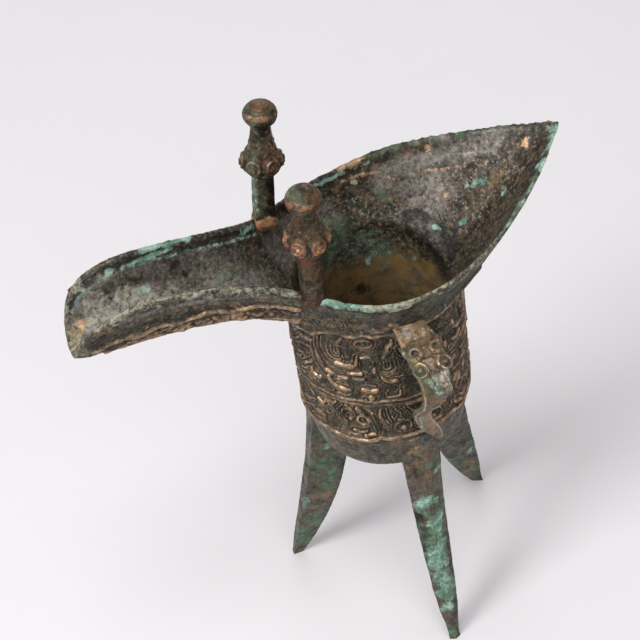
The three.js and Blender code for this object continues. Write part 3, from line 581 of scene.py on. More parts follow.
def turned(profile: Sequence[Point2], steps: int, ring: bool = False) -> BMesh:
    """A body turned about the Z axis from a half section.

    Args:
        profile: Radius and height of each point.
        steps: Columns round it.
        ring: True for a section that closes on itself, not one from axis to axis.

    Returns:
        The shape in millimetres.
    """
    bm = bmesh.new()
    verts = [bm.verts.new((r, 0.0, z)) for r, z in profile]
    edges = [bm.edges.new(pair) for pair in zip(verts, verts[1:])]
    if ring:
        edges.append(bm.edges.new((verts[-1], verts[0])))
    full = 2 * math.pi
    bmesh.ops.spin(
        bm, geom=verts + edges, axis=(0, 0, 1), cent=(0, 0, 0), angle=full, steps=steps, use_merge=True
    )
    bmesh.ops.remove_doubles(bm, verts=bm.verts, dist=MERGE)
    bmesh.ops.recalc_face_normals(bm, faces=bm.faces)
    return bm


def tube(path: Array, radius: Array, around: int, closed: bool = False) -> BMesh:
    """A round bar along a path.

    Args:
        path: The centre line, one row per point.
        radius: Its radius at each point.
        around: Columns round it.
        closed: True for a ring.

    Returns:
        The shape in millimetres.
    """
    n = len(path)
    ahead = np.roll(path, -1, axis=0) if closed else np.vstack([path[1:], 2 * path[-1] - path[-2]])
    back = np.roll(path, 1, axis=0) if closed else np.vstack([2 * path[0] - path[1], path[:-1]])
    along = unit(ahead - back)
    nearly_up = np.array([0.02, 0.03, 1.0])
    side = unit(np.cross(along, nearly_up))
    up = np.cross(side, along)

    def place(s: Array, t: Array) -> Array:
        """Points of the bar."""
        i = np.rint(s * (n if closed else n - 1)).astype(int) % n
        a = 2 * math.pi * t
        r = radius[i][:, None]
        return path[i] + r * (side[i] * np.cos(a)[:, None] + up[i] * np.sin(a)[:, None])

    return skin(n if closed else n - 1, around, place)


def ball(centre: Point3, radii: Point3) -> BMesh:
    """An oval body.

    Args:
        centre: Its middle.
        radii: Its three radii.

    Returns:
        The shape in millimetres.
    """
    bm = bmesh.new()
    bmesh.ops.create_icosphere(bm, subdivisions=3, radius=1.0)
    bmesh.ops.scale(bm, vec=Vector(radii), verts=bm.verts)
    bmesh.ops.translate(bm, vec=Vector(centre), verts=bm.verts)
    return bm


def as_object(bm: BMesh, name: str) -> Object:
    """Puts a shape in the scene and frees its bmesh.

    Args:
        bm: The shape.
        name: The object's name.

    Returns:
        The new object.
    """
    mesh = bpy.data.meshes.new(name)
    bm.to_mesh(mesh)
    bm.free()
    obj = bpy.data.objects.new(name, mesh)
    bpy.context.scene.collection.objects.link(obj)
    return obj


def settle(obj: Object) -> None:
    """Makes an object's modifiers part of its mesh.

    Args:
        obj: The object.
    """
    graph = bpy.context.evaluated_depsgraph_get()
    mesh = bpy.data.meshes.new_from_object(obj.evaluated_get(graph))
    obj.modifiers.clear()
    old = obj.data
    obj.data = mesh
    bpy.data.meshes.remove(old)


def cut(obj: Object, other: Object, join: Join) -> None:
    """Joins or cuts one body with another, which goes.

    Args:
        obj: The body that changes.
        other: The body that it is joined to or cut with.
        join: What happens to it.
    """
    mod = obj.modifiers.new(join.name, "BOOLEAN")
    mod.operation = join.value
    mod.object = other
    mod.solver = "MANIFOLD"
    settle(obj)
    bpy.data.objects.remove(other)


def remesh(obj: Object, grain: float, smooth: int) -> None:
    """Wraps bodies that run into each other in one even skin with softened edges.

    Args:
        obj: The object.
        grain: Size of the skin's faces in millimetres.
        smooth: How often the skin is relaxed.
    """
    mod = obj.modifiers.new("skin", "REMESH")
    mod.mode = "VOXEL"
    mod.voxel_size = grain
    settle(obj)
    bm = bmesh.new()
    bm.from_mesh(obj.data)
    for _ in range(smooth):
        bmesh.ops.smooth_vert(
            bm, verts=bm.verts, factor=0.5, use_axis_x=True, use_axis_y=True, use_axis_z=True
        )
    bm.to_mesh(obj.data)
    bm.free()


def split_off(
    obj: Object, name: str, planes: Sequence[tuple[Sequence[float], Sequence[float]]]
) -> Object:
    """Copies the part of a body that lies behind some planes, with its cut faces closed.

    Args:
        obj: The body.
        name: Name of the part.
        planes: Point and normal of each plane. What lies on the normal's side goes.

    Returns:
        The part as a new object.
    """
    bm = bmesh.new()
    bm.from_mesh(obj.data)
    for point, normal in planes:
        geom = list(bm.verts) + list(bm.edges) + list(bm.faces)
        result = bmesh.ops.bisect_plane(
            bm, geom=geom, plane_co=point, plane_no=normal, dist=MERGE, clear_outer=True
        )
        edges = [g for g in result["geom_cut"] if isinstance(g, BMEdge)]
        bmesh.ops.triangle_fill(bm, use_beauty=True, use_dissolve=False, edges=edges)
    bmesh.ops.recalc_face_normals(bm, faces=bm.faces)
    return as_object(bm, name)


def surface(mesh: Mesh) -> tuple[Array, Array]:
    """The mesh's vertices and their normals.

    Args:
        mesh: The mesh.

    Returns:
        Places and directions, one row each.
    """
    out = []
    for values, name in ((mesh.vertices, "co"), (mesh.vertex_normals, "vector")):
        flat = np.empty(len(values) * 3)
        values.foreach_get(name, flat)
        out.append(flat.reshape(-1, 3))
    return out[0], out[1]


def move_to(mesh: Mesh, points: Array) -> None:
    """Puts the vertices at new places."""
    mesh.vertices.foreach_set("co", np.ascontiguousarray(points, float).ravel())
    mesh.update()


class Tint(Enum):
    """What a stain shows, by the name of its mark."""

    GREEN = "green"
    TURQUOISE = "turquoise"
    PALE = "pale"
    COPPER = "copper"
    WARM = "warm"
    DARK = "dark"
    SPECKLE = "speckle"
    ASH = "ash"


@dataclass(frozen=True)
class Stain:
    """A stain round a place or along a line, in millimetres round the cup's axis."""

    tint: Tint
    radius: float
    strength: float
    points: tuple[Point3, ...]

    def cover(self, places: Array) -> Array:
        """How strongly it covers each place.

        Args:
            places: Places in millimetres, one row each.

        Returns:
            Its strength there, fading out at its edge.
        """
        line = np.asarray(self.points, float)
        if len(line) > 1:
            line = spline(line, max(0.5 * self.radius, 0.4))
        reach = 2.2 * self.radius
        near = np.all((places > line.min(axis=0) - reach) & (places < line.max(axis=0) + reach), axis=1)
        out = np.zeros(len(places))
        if near.any():
            gap = np.linalg.norm(places[near][:, None] - line[None], axis=2).min(axis=1) / self.radius
            ragged = 1.1 * fractal(places[near], max(reach, 3.0), 4, 2.0)
            out[near] = self.strength * smoothstep(1.45, 0.35, gap + ragged)
        return out


def stains(rows: dict[Tint, tuple]) -> tuple[Stain, ...]:
    """Stains by tint, each from its radius, its strength and its points."""
    return tuple(Stain(tint, row[0], row[1], row[2:]) for tint, some in rows.items() for row in some)


@dataclass
class Marks:
    """What the finish reads at each vertex, from 0 to 1."""

    raised: Array
    hollow: Array
    green: Array
    turquoise: Array
    pale: Array
    copper: Array
    warm: Array
    dark: Array
    speckle: Array
    ash: Array

    @classmethod
    def clear(cls, count: int) -> "Marks":
        """Marks that are all 0."""
        return cls(*(np.zeros(count) for _ in fields(cls)))

    def stain(self, places: Array, stains: Sequence[Stain], where: Array | bool = True) -> None:
        """Adds stains.

        Args:
            places: The vertices' places in millimetres.
            stains: The stains.
            where: Which vertices can take them.
        """
        for one in stains:
            values = getattr(self, one.tint.value)
            setattr(self, one.tint.value, np.maximum(values, one.cover(places) * where))

    def write(self, mesh: Mesh) -> None:
        """Stores the marks on a mesh.

        Args:
            mesh: The mesh, with as many vertices as the marks.
        """
        for name, values in vars(self).items():
            layer = mesh.attributes.new(name, "FLOAT", "POINT")
            layer.data.foreach_set("value", np.clip(values, 0, 1).astype(np.float32))


# finishes


class Graph:
    """Short calls for wiring one material."""

    def __init__(self, name: str) -> None:
        """Starts a material.

        Args:
            name: The material's name.
        """
        self.material = bpy.data.materials.new(name)
        self.material.use_nodes = True
        self.tree = self.material.node_tree
        self.tree.nodes.clear()
        self.where = self.tree.nodes.new("ShaderNodeTexCoord").outputs["Object"]

    def node(self, kind: str, **inputs: object) -> Node:
        """Adds a node and sets or links its inputs.

        Args:
            kind: The node's type.
            inputs: Values or sockets by input name, with _ for a space.

        Returns:
            The node.
        """
        made = self.tree.nodes.new(kind)
        for key, value in inputs.items():
            self.feed(made.inputs[key.replace("_", " ")], value)
        return made

    def feed(self, socket: NodeSocket, value: object) -> None:
        """Links a socket to another, or sets its value, which may be a colour."""
        if isinstance(value, NodeSocket):
            self.tree.links.new(value, socket)
        else:
            socket.default_value = linear(value) if isinstance(value, tuple) else value

    def mark(self, name: str) -> NodeSocket:
        """Reads one of the piece's marks."""
        made = self.tree.nodes.new("ShaderNodeAttribute")
        made.attribute_name = name
        return made.outputs["Fac"]

    def mottle(self, size: float, detail: float, rough: float) -> NodeSocket:
        """Natural blotches.

        Args:
            size: Size of the blotches in millimetres.
            detail: Finer layers.
            rough: Strength of the finer layers.

        Returns:
            A value about 0.5.
        """
        made = self.node(
            "ShaderNodeTexNoise", Vector=self.where, Scale=1 / MM / size, Detail=detail, Roughness=rough
        )
        return made.outputs["Fac"]

    def sum(self, operation: str, a: object, b: object) -> NodeSocket:
        """One sum, held between 0 and 1 for ADD and SUBTRACT.

        Args:
            operation: The node's operation.
            a: A value or socket.
            b: Another.

        Returns:
            The result.
        """
        made = self.tree.nodes.new("ShaderNodeMath")
        made.operation = operation
        made.use_clamp = operation in ("ADD", "SUBTRACT")
        self.feed(made.inputs[0], a)
        self.feed(made.inputs[1], b)
        return made.outputs[0]

    def plus(self, a: object, b: object) -> NodeSocket:
        """Both together, at most 1."""
        return self.sum("ADD", a, b)

    def less(self, a: object, b: object) -> NodeSocket:
        """What is left of the first after the second, at least 0."""
        return self.sum("SUBTRACT", a, b)

    def times(self, a: object, b: object) -> NodeSocket:
        """One times the other."""
        return self.sum("MULTIPLY", a, b)

    def most(self, a: object, b: object) -> NodeSocket:
        """The larger of two."""
        return self.sum("MAXIMUM", a, b)

    def step(self, value: object, low: float, high: float) -> NodeSocket:
        """A soft step from 0 at low to 1 at high.

        Args:
            value: The value or socket.
            low: Where the step starts.
            high: Where it ends.

        Returns:
            The step.
        """
        made = self.tree.nodes.new("ShaderNodeMapRange")
        made.interpolation_type = "SMOOTHSTEP"
        self.feed(made.inputs["Value"], value)
        made.inputs["From Min"].default_value = low
        made.inputs["From Max"].default_value = high
        return made.outputs["Result"]

    def patches(
        self, size: float, detail: float, rough: float, low: float, high: float
    ) -> NodeSocket:
        """Blotches with an edge, from 0 where they are below low to 1 where they are above high."""
        return self.step(self.mottle(size, detail, rough), low, high)

    def mix(self, share: object, a: object, b: object, kind: str = "RGBA") -> NodeSocket:
        """Mixes two colours or numbers.

        Args:
            share: The share of the second, from 0 to 1.
            a: The first.
            b: The second.
            kind: RGBA for colours, FLOAT for numbers.

        Returns:
            The mixture.
        """
        made = self.tree.nodes.new("ShaderNodeMix")
        made.data_type = kind
        self.feed(made.inputs["Factor"], share)
        self.feed(made.inputs["A"], a)
        self.feed(made.inputs["B"], b)
        return made.outputs["Result"]

    def blend(self, share: object, a: object, b: object) -> NodeSocket:
        """Mixes two numbers by a share."""
        return self.mix(share, a, b, "FLOAT")

    def coat(self, tone: object, cover: object, strength: object, colour: object) -> NodeSocket:
        """Lays a colour over a tone, by a cover from 0 to 1 and a strength."""
        return self.mix(self.times(cover, strength), tone, colour)

    def ragged(self, name: str, size: float) -> NodeSocket:
        """One of the piece's marks with its edge broken up by blotches.

        Args:
            name: The mark.
            size: Size of the blotches in millimetres.

        Returns:
            A value from 0 to 1.
        """
        blotches = self.times(self.patches(size, 9.0, 0.75, 0.28, 0.72), 0.42)
        return self.step(self.plus(self.times(self.mark(name), 0.47), blotches), 0.36, 0.66)

    def end(self, shader: Node) -> Material:
        """Ends the material with its shader."""
        out = self.tree.nodes.new("ShaderNodeOutputMaterial")
        self.tree.links.new(shader.outputs["BSDF"], out.inputs["Surface"])
        return self.material


@dataclass(frozen=True)
class Patina:
    """Old bronze: dark brown skin, worn copper with a painted highlight on what stands out, and stains of
    verdigris.
    """

    name: str
    dark: Colour = (36, 31, 28)
    brown: Colour = (78, 66, 57)
    cream: Colour = (150, 138, 124)
    ash: Colour = (138, 131, 126)
    # Raised relief takes these two colours: partly worn copper, partly painted highlight, lightening to a
    # near-white painted highlight
    rubbed: Colour = (178, 142, 108)
    painted_highlight: Colour = (238, 214, 188)
    soot: Colour = (22, 19, 17)
    dirt: Colour = (50, 42, 35)
    moss: Colour = (76, 82, 58)
    green: Colour = (60, 74, 58)
    light_green: Colour = (98, 120, 94)
    turquoise: Colour = (92, 132, 114)
    light_turquoise: Colour = (172, 202, 186)
    pale: Colour = (172, 172, 150)
    warm: Colour = (140, 112, 66)
    grain: float = 0.32
    metallic: float = 0.28
    worn_metallic: float = 0.78
    worn_rough: float = 0.34
    crust_rough: float = 0.86
    pit_depth: float = 0.0002

    def skin(self, g: Graph) -> NodeSocket:
        """The brown skin with its haze, flecks, and warm and dark areas.

        Args:
            g: The material's graph.

        Returns:
            Its colour.
        """
        tone = g.mix(g.patches(4.2, 6.0, 0.72, 0.4, 0.62), self.dark, self.brown)
        haze = g.times(g.mark("ash"), g.blend(g.patches(3.0, 7.0, 0.75, 0.36, 0.62), 0.25, 1.0))
        tone = g.mix(haze, tone, self.ash)
        fine = g.mottle(1.25, 4.0, 0.7)
        tone = g.coat(tone, g.patches(5.0, 6.0, 0.75, 0.48, 0.6), 0.4, self.moss)
        share = g.plus(g.times(g.mark("speckle"), 0.4), self.grain)
        tone = g.coat(tone, g.step(fine, 0.54, 0.64), share, self.cream)
        tone = g.coat(tone, g.step(fine, 0.47, 0.38), share, self.soot)
        warm_tone = g.mix(g.patches(5.0, 7.0, 0.72, 0.42, 0.66), self.warm, tone)
        tone = g.coat(tone, g.ragged("warm", 4.0), 0.85, warm_tone)
        return g.coat(tone, g.ragged("dark", 3.0), 0.85, self.soot)

    def gold(self, g: Graph) -> NodeSocket:
        """The worn metal and painted highlight on raised relief, with moss in places.

        Args:
            g: The material's graph.

        Returns:
            Its colour.
        """
        tone = g.mix(g.patches(1.5, 3.0, 0.6, 0.48, 0.7), self.rubbed, self.painted_highlight)
        return g.coat(tone, g.patches(3.0, 6.0, 0.75, 0.5, 0.62), 0.55, self.moss)

    def build(self) -> Material:
        """Wires the finish.

        Returns:
            The material.
        """
        g = Graph(self.name)
        tone = self.skin(g)
        # Raised relief and copper stains take the worn-metal colour, which is partly a painted highlight;
        # patches break it up
        wear_and_highlight_patches = g.patches(2.6, 6.0, 0.7, 0.38, 0.6)
        rubbed = g.times(g.step(g.mark("raised"), 0.28, 0.85), g.blend(wear_and_highlight_patches, 0.15, 1.0))
        gold = self.gold(g)
        bare_and_highlit = g.most(rubbed, g.ragged("copper", 1.6))
        tone = g.coat(tone, bare_and_highlit, 0.9, gold)

        hollow = g.mark("hollow")
        dirt = g.mix(g.patches(3.4, 4.0, 0.7, 0.42, 0.62), self.dirt, self.moss)
        tone = g.coat(tone, hollow, 0.75, dirt)

        keep = g.less(1.0, g.times(rubbed, 0.7))
        crust = g.times(g.ragged("green", 3.6), keep)
        shade = g.mix(g.patches(3.2, 8.0, 0.75, 0.42, 0.62), self.green, self.light_green)
        tone = g.coat(tone, crust, 0.78, shade)
        bloom = g.times(g.ragged("turquoise", 2.2), keep)
        shade = g.mix(g.patches(3.6, 8.0, 0.78, 0.42, 0.64), self.turquoise, self.light_turquoise)
        tone = g.coat(tone, bloom, 0.78, shade)
        lime = g.ragged("pale", 1.8)
        tone = g.coat(tone, lime, 0.7, self.pale)

        dull = g.plus(g.plus(crust, bloom), lime)
        rough = g.blend(g.patches(2.4, 6.0, 0.7, 0.4, 0.62), self.worn_rough, 0.7)
        rough = g.blend(g.most(dull, hollow), g.blend(rubbed, rough, self.worn_rough), self.crust_rough)
        shine = g.blend(bare_and_highlit, self.metallic, self.worn_metallic)
        shine = g.times(shine, g.less(1.0, g.plus(dull, hollow)))

        pits = g.plus(g.mottle(0.7, 3.0, 0.7), g.times(g.mottle(2.6, 4.0, 0.6), 0.8))
        bump = g.node("ShaderNodeBump", Height=pits, Strength=0.5, Distance=self.pit_depth)
        shader = g.node(
            "ShaderNodeBsdfPrincipled",
            Base_Color=tone,
            Roughness=rough,
            Metallic=shine,
            Normal=bump.outputs["Normal"],
        )
        shader.inputs["Specular IOR Level"].default_value = 0.3
        return g.end(shader)


BODY_PATINA = Patina("body_patina")
LEG_PATINA = Patina(
    "leg_patina",
    brown=(86, 70, 54),
    warm=(138, 102, 66),
    green=(60, 84, 68),
    light_green=(102, 134, 108),
)
POST_PATINA = Patina(
    "post_patina",
    dark=(42, 33, 27),
    brown=(92, 68, 50),
    rubbed=(204, 142, 100),
    painted_highlight=(236, 208, 190),
    warm=(112, 74, 46),
    metallic=0.6,
)
HANDLE_PATINA = Patina(
    "handle_patina",
    dark=(58, 50, 42),
    brown=(112, 98, 80),
    rubbed=(188, 154, 120),
    painted_highlight=(232, 214, 200),
    pale=(196, 186, 174),
    warm=(138, 106, 70),
    green=(58, 82, 56),
    metallic=0.45,
)


def finish_piece(obj: Object, patina: Material, node: str) -> None:
    """Brings a piece into the row frame, dresses it and hands it to the frame.

    Args:
        obj: The piece, in millimetres round the cup's axis.
        patina: Its finish.
        node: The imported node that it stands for.
    """
    sharp = math.radians(78)
    obj.data.transform(Matrix.Scale(MM, 4) @ Matrix.Translation((AXIS_X, AXIS_Y, 0.0)))
    obj.data.materials.clear()
    obj.data.materials.append(patina)
    obj.data.shade_smooth()
    obj.data.set_sharp_from_angle(angle=sharp)
    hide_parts(node)
    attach(obj, "root")
    log.info("%s: %d faces", obj.name, len(obj.data.polygons))


# vessel wall


SPOUT_STAINS = stains({
    Tint.SPECKLE: ((15, 1, (-96, 0, 172), (-70, 0, 170), (-38, 0, 166)),),
    Tint.ASH: ((17, 1, (-86, 3, 172), (-60, 3, 170), (-36, 4, 168)),),
    Tint.DARK: (
        (2.2, 0.6, (-86, 9.5, 178), (-74, 9.6, 178), (-66, 9.6, 174)),
        (1.2, 1, (-84.4, 8.4, 175.5)),
        (1.2, 1, (-76.6, 9.9, 178.4)),
        (1.4, 1, (-59.1, 9.8, 173.3)),
        (1.4, 1, (-61.9, 10.7, 177.1)),
    ),
    Tint.PALE: (
        (5, 0.65, (-92.3, 8.9, 177.3), (-93, 3, 171)),
        (3.4, 0.6, (-82, 8.3, 175.2), (-72, 6, 171.4)),
        (2.8, 0.6, (-86.2, 11, 182.8)),
        (2.4, 0.6, (-66.5, 7.5, 171.5)),
        (2.8, 0.6, (-93.8, 10.4, 181.5)),
        (2.4, 0.45, (-60, 4, 166.4)),
    ),
    Tint.TURQUOISE: (
        (1.9, 0.85, (-73.8, 8.1, 173.8)),
        (0.9, 1, (-84, 11.2, 184), (-78.1, 11.3, 183.4), (-71.9, 11.5, 183.5), (-61.5, 12.1, 182.8)),
        (1.6, 0.6, (-51.8, 11.7, 175.4)),
        (2, 0.9, (-37.3, 16.1, 177), (-33.2, 17.7, 175.4)),
    ),
    Tint.COPPER: ((1.9, 1, (-96.4, 5.5, 171.8)),),
    Tint.WARM: (
        (3.2, 1, (-100.5, 4.3, 170.9), (-101.7, 0.5, 168.4)),
        (1.6, 1, (-96.5, 7.2, 174.4)),
    ),
    Tint.GREEN: ((3, 0.5, (-48, 8, 168)),),
})
BORE_STAINS = stains({
    Tint.SPECKLE: (
        (9, 1, (10.2, 28.4, 158.3), (-8, 28, 156), (31.5, 16.2, 160.6)),
        (12, 1, (-6, 28, 150), (20, 24, 150), (48, 6, 168)),
    ),
    Tint.DARK: (
        (6, 0.8, (23.8, 14.4, 151.3), (28.5, 5.9, 149.2), (26.3, -0.8, 144.7)),
        (2.6, 1, (4.4, 26, 120.3)),
    ),
    Tint.WARM: (
        (6.5, 0.45, (43.1, 3.4, 162.7), (50, 2.8, 169.8)),
        (8, 1, (-4.7, 25.9, 127.5), (2.6, 26.1, 129.2), (12.2, 23.3, 131.4), (23.9, 11, 129)),
        (14, 0.8, (0, 0, 84)),
    ),
    Tint.GREEN: (
        (3, 0.7, (17.3, 25.8, 158.8)),
        (9, 0.7, (-10, 25, 140), (4, 28, 150), (12, 26, 138)),
    ),
    Tint.TURQUOISE: (
        (1.5, 1, (48.4, -2.1, 167.8)),
        (1.2, 1, (42.7, 4.5, 162.9)),
        (1.3, 1, (21.2, 15.6, 137.9)),
        (1.1, 1, (7.9, 25.1, 133.8)),
        (2.2, 0.95, (42.5, 8.6, 165.5), (46.3, 7.1, 168.6)),
        (1.4, 1, (36, 4.2, 155.5)),
        (1.2, 1, (28.6, 10, 152)),
        (6, 0.42, (14, 26, 142), (2, 28, 144)),
    ),
    Tint.PALE: (
        (1.6, 0.8, (8.8, 31.5, 164.1)),
        (1.5, 0.8, (55.3, 4.7, 176.4)),
    ),
    Tint.COPPER: (
        (1.5, 1, (60.2, 3.9, 180.3)),
        (1.2, 1, (34.5, 13.7, 161.2)),
        (1.5, 0.7, (34.2, 25.5, 173.2)),
        (1.2, 1, (55.7, -2.9, 175.9)),
        (0.7, 0.75, (4.4, 32.5, 166.1), (13.9, 31.5, 166.8), (21.1, 27.6, 164.6)),
        (0.6, 0.65, (29.3, 23.6, 166.5), (41.3, 15.3, 169.8)),
    ),
    Tint.ASH: (
        (4.5, 0.9, (20.6, 29.2, 166), (34.3, 23.2, 171.2), (52.3, 13.2, 178.6)),
        (7.5, 0.75, (33.4, 19.3, 164.6), (29.3, 18.3, 157)),
        (8, 0.6, (-24, 22, 166), (-8, 29, 160)),
    ),
})
RIM_STAINS = stains({
    Tint.TURQUOISE: (
        (3, 0.9, (69, -1.3, 187.2), (63, -8.4, 184.9), (58.7, -12.1, 183.3)),
        (2.4, 0.55, (53.7, -15.1, 181.6), (42.5, -22.5, 178.3), (37.9, -26.3, 177.1)),
        (2.6, 0.95, (-24.5, -24.1, 173.3), (-20.2, -28, 172.2), (-13.3, -31.2, 170.2)),
        (0.9, 1, (-5, 32.7, 168.6), (3.4, 33.5, 168.3), (10.1, 33.4, 168.6), (16, 32.7, 169.3)),
        (1.4, 1, (-70.6, 12.9, 186.6), (-62, 12.8, 185.2), (-55.7, 13.4, 183.7)),
    ),
    Tint.GREEN: (
        (3.2, 0.8, (53.7, -15.1, 181.6), (42.5, -22.5, 178.3), (37.9, -26.3, 177.1)),
        (2.6, 0.6, (-10, -32.4, 170.2), (4, -34.6, 170.8)),
        (2.8, 0.75, (19.8, 33.4, 173.4), (29.8, 30.3, 175.3), (38.1, 25.9, 177.2)),
        (2.8, 0.6, (42, 23.6, 178.4), (53.8, 15.8, 181.6), (61.1, 10.1, 184.1)),
    ),
    Tint.PALE: (
        (2.4, 0.55, (34, -28.6, 176), (26.1, -31.7, 174.4), (11.9, -34.4, 171.7)),
        (2.4, 0.75, (-13.3, -31.2, 170.2), (-2, -34.6, 170.4), (12, -34.4, 171.7)),
        (2.4, 0.6, (-94, -11.8, 183.6), (-80, -12.4, 187.2), (-62, -13, 185), (-34, -18, 176.6)),
        (2, 0.7, (-93.9, 10.7, 183.7), (-96.8, 9.4, 180), (-99, 7.6, 174.5)),
    ),
    Tint.DARK: (
        (2.6, 0.9, (-9, 33, 170.1), (1, 35.4, 170.3)),
        (2.8, 0.7, (42, 23.6, 178.4), (53.8, 15.8, 181.6), (61.1, 10.1, 184.1)),
    ),
    Tint.COPPER: ((1.9, 0.9, (6.4, 34.4, 170.9), (13.6, 34, 171.8)),),
})
OUTSIDE_STAINS = stains({
    Tint.COPPER: (
        (2.4, 0.6, (-1.7, -28.9, 99)),
        (1.4, 0.6, (-52.3, -14.7, 176.6), (-46, -16, 172)),
        (1.6, 0.6, (-90.2, -11, 174.7), (-80, -12, 176)),
    ),
    Tint.WARM: ((3, 0.4, (-8, -27.4, 97), (-20, -20, 97)),),
    Tint.GREEN: ((3.2, 0.5, (10, -28, 98), (22, -19, 98)),),
    Tint.TURQUOISE: ((1.6, 0.5, (30.2, -29.4, 172), (44, -20.6, 174)),),
})


# The rim's line behind the lip, by place along the vessel and by height
RIM = (
    (-81, 187.4), (-66, 186), (-50, 182.2), (-37, 178), (-25, 173.4), (-8, 170.2), (6, 170.8), (24, 174),
    (43, 178.4), (58, 183), (71, 188),
)


@dataclass(frozen=True)
class Mouth:
    """The boat-shaped mouth with its spout and tail, as curves along the vessel."""

    lip_x: float = -103.0
    tail_x: float = 71.0
    wall: float = 2.8
    past: float = 8.0
    rebate_depth: float = 4.5
    rebate: float = 0.7
    rebate_start: float = -20.0
    rim_side: Curve = Curve(((-103, 166), (-101.2, 174), (-97.5, 180.7), (-91, 185.3), *RIM))
    wall_top: Curve = Curve(((-111, 187.4), *RIM, (73, 189)))
    rim_half: Curve = Curve((
        (-111, 8), (-103, 9.5), (-97, 12.6), (-88, 13.4), (-66, 14.1), (-50, 15.6), (-38, 18), (-31, 21),
        (-25, 25), (-16, 30.6), (-6, 34.7), (6, 36.3), (16, 35.7), (27, 32.6), (40, 26), (54, 16.6),
        (64, 8), (71, 1.2),
    ))
    keel: Curve = Curve((
        (-111, 165.8), (-103, 166), (-88, 167.6), (-70, 166), (-52, 162.5), (-36, 156.5), (-20, 145),
        (0, 134), (20, 138), (34, 149), (50, 166), (62, 178.5), (71, 186.8),
    ))
    power: Curve = Curve(((-103, 2.5), (-30, 2.5), (0, 2.2), (25, 1.62), (45, 1.38), (71, 1.4)))
    lean: Curve = Curve(((-103, 0.05), (-40, 0.06), (0, 0.17), (30, 0.25), (71, 0.25)))

    def tail_end(self, wall: float) -> float:
        """Where a wall closes up inside the tail.

        Args:
            wall: The wall's thickness.

        Returns:
            The place along the vessel.
        """
        x = self.tail_x
        while float(self.rim_half(x)) < wall + 0.4:
            x -= 0.25
        return x

    def solid(self, grow: float, start: float, end: float) -> BMesh:
        """The mouth as a solid body, its wall grown outwards by a distance.

        Args:
            grow: The distance, negative for the room inside.
            start: Where the body starts along the vessel.
            end: Where it ends.

        Returns:
            The shape in millimetres.
        """
        lid = 0.06

        def place(s: Array, t: Array) -> Array:
            """Points of the trough, and of the lid over it.

            Args:
                s: Share of the way along.
                t: Share of the way round.

            Returns:
                The points, one row each.
            """
            x = start + (end - start) * s
            top = self.wall_top(x)
            half = np.maximum(self.rim_half(x) + grow, 0.35)
            depth = np.maximum(top - self.keel(x) + grow, 0.5)
            power = self.power(x)
            a = np.clip((t - lid) / (1 - 2 * lid), 0, 1) * math.pi - math.pi / 2
            down = np.maximum(np.cos(a), 0) ** (2 / power)
            side = np.sign(a) * np.abs(np.sin(a)) ** (2 / power) * (1 - self.lean(x) * down)
            over = np.where((t < lid * 0.75) | (t > 1 - lid * 0.75), 1.0, 0.0)
            middle = np.where((t < TINY) | (t > 1 - TINY), 0.0, 1.0)
            return np.stack([x, half * side * middle, top - depth * down + self.past * over], axis=1)

        return skin(150, 100, place)

    def above(self, drop: float) -> BMesh:
        """Everything above the rim, as a cutter.

        Args:
            drop: How far below the rim the cut runs.

        Returns:
            The shape in millimetres.
        """
        sky, low, clear, half = 260.0, 130.0, 30.0, 60.0
        lip = self.lip_x + drop
        side = spline(self.rim_side.points, 1.2) - np.array([0, drop])
        outline = [(self.lip_x - clear, sky), (self.lip_x - clear, low), (lip, low)]
        outline += [tuple(p) for p in side if p[0] + TINY > lip]
        outline += [(self.tail_x + clear, side[-1][1] + 3), (self.tail_x + clear, sky)]
        bm = bmesh.new()
        verts = [bm.verts.new((x, -half, z)) for x, z in outline]
        face = bm.faces.new(verts)
        moved = bmesh.ops.extrude_face_region(bm, geom=[face])
        new = [v for v in moved["geom"] if isinstance(v, BMVert)]
        bmesh.ops.translate(bm, vec=(0, 2 * half, 0), verts=new)
        bmesh.ops.recalc_face_normals(bm, faces=bm.faces)
        return bm

    def section_place(self, points: Array) -> tuple[Array, Array]:
        """Where points lie on the trough's section.

        Args:
            points: Places in millimetres.

        Returns:
            How far out they lie, 1 on the outside, and the distance down from the rim in millimetres.
        """
        x, y, z = points.T
        top = self.wall_top(x)
        half = self.rim_half(x)
        depth = np.maximum(top - self.keel(x), 0.5)
        power = self.power(x)
        down = np.clip((top - z) / depth, 0, 1.4)
        side = np.abs(y) / np.maximum(half * (1 - self.lean(x) * np.clip(down, 0, 1)), 0.3)
        out = (side**power + down**power) ** (1 / power)
        a = np.arctan2(down ** (power / 2), np.maximum(side, TINY) ** (power / 2))
        length = (half + depth) * 0.86 * (a / (math.pi / 2))
        return out, length


